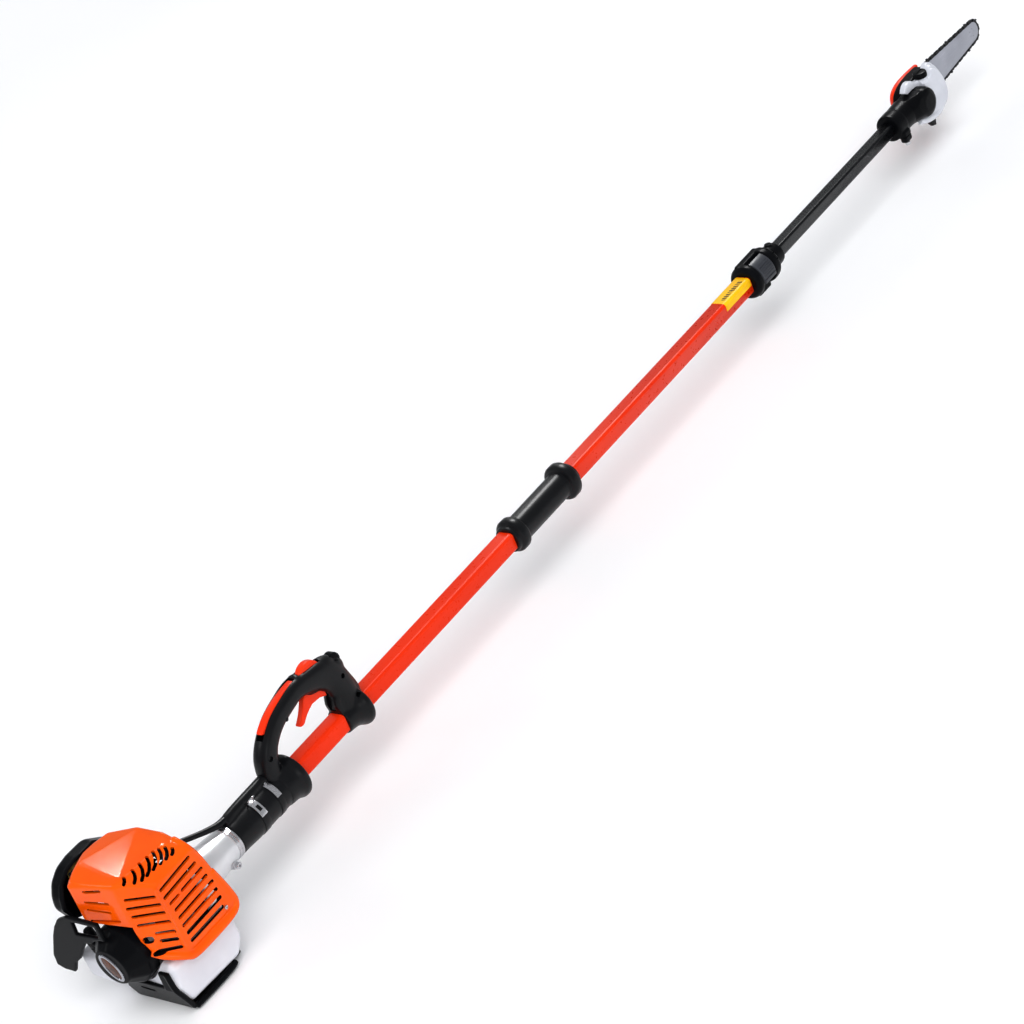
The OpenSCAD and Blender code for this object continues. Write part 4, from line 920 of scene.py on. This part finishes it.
def cable():
    points = [(398, 0, 204), (372, 0, 207), (344, 0, 203), (320, 0, 193), (304, 0, 176), (299, 0, 158),
        (292, 0, 146), (280, 0, 144), (240, 0, 144), (200, 0, 144), (176, 0, 144), (160, 2, 147),
        (140, 8, 152), (112, 18, 160), (84, 32, 168), (60, 44, 176), (40, 49, 182), (26, 50, 184)]
    piece(tube(points, 2.5, 16, 6), "cable_jacket", "black_rubber", replaces=["throttle_cable"])
    boot = tube([(182, 0, 143.4, 6.2), (172, 0, 144.6, 5.8), (160, 2, 147, 5.2), (140, 8, 152, 4.6),
        (112, 18, 160, 4.4), (84, 32, 168, 4.2), (66, 41.5, 174, 4.0)], 5, 20)
    piece(boot, "cable_boot", "black_rubber")


# Pole, middle grip and telescope clamp

def pole():
    """Both square tubes: half width, corner radius, half width of the hole and its corner radius."""
    tubes = (("outer_tube", "pole_outer", "power_unit", "orange_paint", 16, 7, 14.55, 5),
        ("inner_tube", "pole_inner", "boom", "black_paint", 12.5, 5.6, 10.9, 4))
    for name, new, body, mat, half, corner, hole, inner in tubes:
        lo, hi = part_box(name)
        piece(square_pipe(lo.x * 1000, hi.x * 1000, half, corner, hole, inner), new, mat, body, [name],
            angle=50)


def mid_grip():
    def ring(c, r):
        return [(c - 11, 24.0), (c - 10, r - 4.6), (c - 8.6, r - 1.6), (c - 5.4, r), (c + 5.4, r),
            (c + 8.6, r - 1.6), (c + 10, r - 4.6), (c + 11, 24.0)]

    profile = [(912, 17), (912, 22.4), (913.4, 23.6)] + ring(930, 30) + [(944, 23.6), (1062, 23.6)]
    profile += ring(1077, 33) + [(1093.6, 23.6), (1095, 22.4), (1095, 17)]
    body = bevel(lathe(profile, n=128), 1.0, 3, 28)
    combine(body, square_bore(900, 1110))
    piece(body, "grip_sleeve", "black_rubber", replaces=["mid_grip"], angle=40)


def clamp():
    """The telescope clamp: all its places are counted from its rear face at x."""
    x = 1668
    rear = lathe([(x, 17), (x, 26.5), (x + 2, 29), (x + 6, 31.6), (x + 9, 32.2), (x + 15, 32.2),
        (x + 17.6, 31), (x + 17.8, 17)])
    core = bar_x(x + 5, x + 75, 25.4, n=96)
    front = lathe([(x + 58.2, 17), (x + 58.4, 31), (x + 61, 32.2), (x + 70, 32.2), (x + 75, 31),
        (x + 78, 28.6), (x + 80, 26), (x + 80, 17)])
    nose = lathe([(x + 78, 14), (x + 78, 23.4), (x + 88, 22.6), (x + 104, 21.2), (x + 107.4, 20.2),
        (x + 108, 18), (x + 108, 14)])
    lug = block((x + 7, 2.4, AXIS_Z + 12), (x + 73, 18, AXIS_Z + 31))
    foot = block((x + 18.4, -12, AXIS_Z - 36), (x + 57.6, 12, AXIS_Z - 20))
    boss = rod((x + 94, 0, AXIS_Z + 14), (x + 94, 0, AXIS_Z + 25.4), 7.2, 6.6, 40)
    body = merged(rear, core, front, nose, bevel(lug, 3, 3), bevel(foot, 3, 3), boss)
    body = melted(body, 1.3, 3)
    for a in range(20, 360, 24):
        combine(body, arc_strip(x + 70.5, x + 84, 26.8, 9, a, a + 6, 4))
    cut(body, block((x + 17.7, -40, AXIS_Z + 22), (x + 58.3, 2, AXIS_Z + 40)),
        bar_x(x + 10, x + 66, 2.1, y=-7, z=AXIS_Z + 25.5, n=32), square_bore(x - 2, 1700),
        square_bore(1699, 1790, 14.55, 4.5, 5), block((1700, -0.8, AXIS_Z - 40), (1778, 0.8, AXIS_Z - 10)))
    piece(body, "clamp_shell", "black_plastic", replaces=["clamp_body"])
    pad = arc_strip(x + 18.6, x + 57.4, 26.2, 4.8, 13, 106, 40)
    for k in range(6):
        combine(pad, arc_strip(x + 24, x + 52, 30.2, 3, 42 + 8 * k, 44.4 + 8 * k, 3))
    pad = bevel(pad, 0.9, 3, 35)
    pad = merged(pad, arc_strip(x + 20, x + 56, 27.6, 5.0, 96, 108, 6),
        rod((x + 10.5, -7, AXIS_Z + 25.5), (x + 65.5, -7, AXIS_Z + 25.5), 1.95, n=24))
    piece(pad, "quick_lever_pad", "lever_grey", "quick_lever", ["clamp_lever"])


# Saw head

def saw_head():
    cover = curve_2d([((2390, 144), (2340, 148), (2280, 152), (2276, 118))], 16)
    cover += curve_2d([((2275, 112), (2274, 76), (2310, 65), (2390, 66))], 16)
    middle = (2340, 105)
    c = CROSS_X
    socket = lathe([(2200, 12.8), (2200, 24.5), (2202, 26.2), (2206, 26.8), (2226, 26.8), (2230, 26.2),
        (2260, 27.6), (2264, 27.4), (2266.5, 25.6), (2266.5, 12.8)])

    def circles(x, z, rows):
        return [(x + r * cos(w), y, z + r * sin(w)) for y, r in rows for w in around(24)]

    collar = [(x, 24.5 * sin(w), AXIS_Z + 24.5 * cos(w)) for x in (2250, 2262) for w in around(24)]
    neck = hull(collar + circles(c, AXIS_Z, ((-36.6, 17), (-34, 23), (-28, 27), (8, 28.5)))
        + circles(2288, AXIS_Z + 3, ((-33, 20), (-26, 26), (6, 27))))
    dome = lathe([(-16, 0.5), (-16, 27.8), (14, 29.6), (24, 29), (31, 26.6), (34.6, 22.5), (36.6, 14),
        (37, 0.5)], (c, 0, AXIS_Z), (0, -1, 0), 96)
    lug = hull([(x, y, z) for x in (2205, 2227) for y in (-29, -15) for z in (AXIS_Z - 33, AXIS_Z - 10)])
    knuckle = ball((2240, -8, AXIS_Z - 27), (9, 9, 8))
    flange = sheet_xz(cover, 6, 30)
    body = melted(merged(socket, neck, dome, bevel(lug, 3, 2), knuckle, bevel(flange, 1.5, 2)), 1.2, 5)
    cut(body, sheet_xz(shrunk(cover, middle, 0.93), 17.8, 33), block((2340, 17.8, 73), (2404, 33, 139)),
        block((2373, 5, 55), (2404, 33, 165)), square_bore(2190, 2225, 12.55, 5, 5), bar_x(2224, 2241, 11.05),
        bar_x(2239, c - 6, 10), rod_y(c, AXIS_Z, -27, 16, 15.5), rod_y(c, AXIS_Z, 15, 20, 8),
        rod((2216, -22, AXIS_Z - 50), (2216, -22, AXIS_Z), 2.6, n=24),
        block((2199, -32, AXIS_Z - 22), (2229, -23, AXIS_Z - 20)))
    for x in STUDS:
        combine(body, rod_y(x, BAR_Z, 3, 19, 4.05))
    piece(body, "gear_case", "black_plastic", "boom", ["gear_housing"])
    rim = [(2396 - (2396 - x) * 0.955, z) for x, z in cover]
    lid = merged(bevel(sheet_xz(shrunk(rim, middle, 0.97), 30.2, 39), 2.4, 3),
        bevel(sheet_xz(shrunk(rim, middle, 0.86), 36, 46), 4.0, 4))
    lid = melted(lid, 1.2, 5)
    combine(lid, sheet_xz(shrunk(cover, middle, 0.84), 28, 34.5))
    for k in range(4):
        x = 2290 + 6 * k
        combine(lid, slot_bar((x, 47, 84 + k), (x, 47, 120 - k), 1.4, (0, 1, 0), 3))
    for x in STUDS:
        cut(lid, rod_y(x, BAR_Z, 41.6, 52, 9.4), rod_y(x, BAR_Z, 20, 52, 4.3))
    piece(lid, "sprocket_lid", "orange_plastic", "boom", ["sprocket_cover"])

    back = curve_2d([((2269, 146), (2276, 161), (2296, 164), (2308, 150)),
        ((2308, 150), (2320, 142), (2344, 142), (2354, 152)),
        ((2354, 152), (2360, 160), (2374, 160), (2382, 146)),
        ((2382, 146), (2402, 116), (2410, 74), (2382, 62)), ((2382, 62), (2352, 52), (2320, 54), (2296, 64)),
        ((2296, 64), (2346, 62), (2352, 130), (2312, 138)), ((2312, 138), (2300, 142), (2288, 142),
        (2275, 142))], 7)
    centre = (2320, 112)
    layers = [sheet_xz(shrunk(back, centre, 0.93), -16, -7), sheet_xz(shrunk(back, centre, 0.84), -22.5, -15)]
    for layer in layers:
        combine(layer, block((2200, -30, 120), (2319, -8.4, 200)))
    arm = tube([(2378, -9, 88, 9), (2356, -14, 70, 9.5), (2324, -16.5, 69, 8.6), (2296, -17.5, 75, 7.4),
        (2277, -18, 82, 5.4)], 8, 20)
    body = merged(sheet_xz(back, -8, 3.6), arm, *layers, rod((2331, -9, 137), (2331, -9, 151), 11.6))
    body = melted(body, 1.15, 9)
    cut(body, rod_y(c, AXIS_Z, -45, 20, 29.6, n=96), rod((2331, -9, 141), (2331, -9, 160), 8.6))
    piece(body, "oil_reservoir", "head_white", "boom", ["oil_tank"], angle=50)
    cap = lathe([(0, 0.5), (0, 13.2), (1.5, 13.6), (8, 13.6), (10.4, 12.2), (11, 10), (11, 0.5)],
        (2331, -9, 148), (0, 0, 1), 72)
    for w in around(14):
        x, y = 2331 + 14.2 * cos(w), -9 + 14.2 * sin(w)
        combine(cap, rod((x, y, 147), (x, y, 160), 1.2, n=12))
    cut(cap, rod((2331, -9, 147), (2331, -9, 154.3), 11.3), block((2321, -10.4, 157.6), (2341, -7.6, 161)))
    piece(cap, "oil_filler_plug", "black_plastic", "oil_filler_cap", ["oil_cap"])

    claw = [(2318, 66), (2316, 56), (2330, 52), (2344, 34), (2356, 30), (2360, 44), (2372, 52), (2370, 66)]
    plate = [(2322, 82), (2318, 58), (2368, 58), (2366, 82)]
    hook = merged(bevel(sheet_xz(claw, 3.8, 10), 1.1, 2), bevel(sheet_xz(plate, 3.8, 5.9), 0.5, 2))
    piece(hook, "hook_claw", "black_plastic", "boom", ["branch_hook"])


def belt(circles, grow, n):
    """The outline of a belt round circles of (x, z, radius), drawn outside them by grow."""
    def normal(a, b):
        d = (b[0] - a[0], b[1] - a[1])
        return atan2(d[1], d[0]) - Q + asin((a[2] - b[2]) / hypot(*d))

    out = []
    for i, c in enumerate(circles):
        a0 = normal(circles[i - 1], c)
        a1 = normal(c, circles[(i + 1) % len(circles)])
        while a1 < a0 - 1e-6:
            a1 += 2 * pi
        r = c[2] + grow
        for k in range(n + 1):
            w = a0 + (a1 - a0) * k / n
            out.append((c[0] + r * cos(w), c[1] + r * sin(w)))
    return out


def bar_and_chain():
    nose, wide, root = (2580, BAR_Z, 18), (2412, BAR_Z, 28), (2352, BAR_Z, 24)
    circles = [root, wide, nose, wide]
    blade = sheet_xz(belt(circles, 0, 24), 20, 24)
    for x in STUDS:
        combine(blade, rod_y(x, BAR_Z, 15, 30, 4.05))
    cut(blade, block((2332, 15, 102), (2362, 30, 110)), rod_y(2345, 122, 15, 30, 2.2, n=24))
    blade = bevel(blade, 0.9, 3, 40)
    face = sheet_xz(belt(circles, -3.2, 20), 19.72, 24.28)
    face = bevel(face, 0.25, 2, 40)
    rivets_at = [(2575 + 8 * cos(w), BAR_Z + 8 * sin(w)) for w in around(5)]
    rivets = [rod_y(x, z, 19.3, 24.7, 1.5, n=20) for x, z in rivets_at]
    piece(merged(blade, face, *rivets), "bar_blade", "bar_grey", "boom", ["guide_bar"])

    root = (2352, BAR_Z, 25)
    track = [(CROSS_X, AXIS_Z, 14.5), root, wide, nose, wide, root]
    dense = belt(track, 2.6, 30)
    lengths, total = [0.0], 0.0
    loop = dense + [dense[0]]
    for a, b in zip(loop, loop[1:]):
        total += dist(a, b)
        lengths.append(total)
    count = round(total / 9.32)
    count -= count % 4
    pitch = total / count

    def at(s):
        """The point and direction of the chain's middle line at the length s."""
        s %= total
        k = max(i for i in range(len(lengths) - 1) if lengths[i] <= s + 1e-9)
        t = (s - lengths[k]) / (lengths[k + 1] - lengths[k] or 1)
        (ax, az), (bx, bz) = loop[k], loop[k + 1]
        return Vector((ax + (bx - ax) * t, az + (bz - az) * t)), Vector((bx - ax, bz - az)).normalized()

    links = []
    middle = Vector((2440, BAR_Z))
    strap = [(-6.2, -1.8), (-5.0, -3.2), (5.0, -3.2), (6.2, -1.8), (6.2, 2.6), (5.0, 3.6), (1.8, 3.1),
        (-1.8, 3.1), (-5.0, 3.6), (-6.2, 2.6)]
    drive = [(-4.6, 3.2), (-4.6, -1.6), (-1.6, -2.6), (1.6, -2.6), (4.6, -1.6), (4.6, 3.2)]
    cutter = [(-6.0, -3.0), (6.0, -3.0), (6.0, 2.8), (3.6, 3.6), (1.8, 2.0), (0.2, 2.2), (-0.8, 4.0),
        (-6.0, 3.4)]
    for i in range(count):
        p, d = at((i + 0.5) * pitch)
        out = Vector((d.y, -d.x))
        if (p + out - middle).length < (p - out - middle).length:
            out = -out

        def placed(shape, y0, y1):
            return sheet_xz([tuple(p + d * u + out * v) for u, v in shape], y0, y1)

        if i % 2:
            links.append(placed(drive, 21.3, 22.7))
        else:
            inside_cover = p.x < 2374
            sharp = (i % 4 == 0) and not inside_cover
            near = cutter if sharp and i % 8 == 0 else strap
            far = cutter if sharp and i % 8 == 4 else strap
            links.append(placed(near, 20.1, 21.2))
            links.append(placed(far, 22.8, 23.9))
            if sharp:
                top = [(-5.8, 3.2), (-5.8, 4.2), (-1.2, 4.6), (-0.8, 3.6)]
                links.append(placed(top, 19.3, 21.4) if i % 8 == 0 else placed(top, 22.6, 24.7))
            for u in (-4.66, 4.66):
                q = p + d * u + out * (-0.6)
                links.append(rod_y(q.x, q.y, 19.8, 24.2, 1.3, n=12))
    piece(merged(*links), "chain_links", "chain_black", "boom", ["saw_chain"], angle=25)


# Finishes of the CAD nodes that stay

def finish_nodes():
    # The engine cylinder takes the dark fin_alloy: its cast grey darkened as painted shade, so that it reads
    # as the shade behind the shroud's slots
    swap = {"engine_cylinder": "fin_alloy", "handle_fasteners": "chain_black"}
    for name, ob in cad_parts.items():
        for s in ob.material_slots:
            old = s.material.name.split(".")[0] if s.material else ""
            s.material = MATERIALS.get(swap.get(name, old)) or MATERIALS["steel"]


look()
studio()
palette()
finish_nodes()
shroud()
filter_cover()
starter()
bumper()
tank()
guard()
clutch_cone()
rear_grip()
bands()
handle()
handle_controls()
cable()
pole()
mid_grip()
clamp()
saw_head()
bar_and_chain()

floor_mesh = bpy.data.meshes.new("floor")
floor_mesh.from_pydata([(x * FLOOR_HALF, y * FLOOR_HALF, 0) for x, y in ((-1, -1), (1, -1), (1, 1), (-1, 1))],
    [], [(0, 1, 2, 3)])
floor = bpy.data.objects.new("floor", floor_mesh)
SCENE.collection.objects.link(floor)
ground = Graph("floor_pale")
ground.link(ground.ramp(ground.noise(2.0, 2), [(0.3, (0.94, 0.94, 0.95)), (0.7, (0.95, 0.95, 0.96))]),
    ground.shader.inputs["Base Color"])
ground.shader.inputs["Roughness"].default_value = 0.9
floor_mesh.materials.append(ground.m)
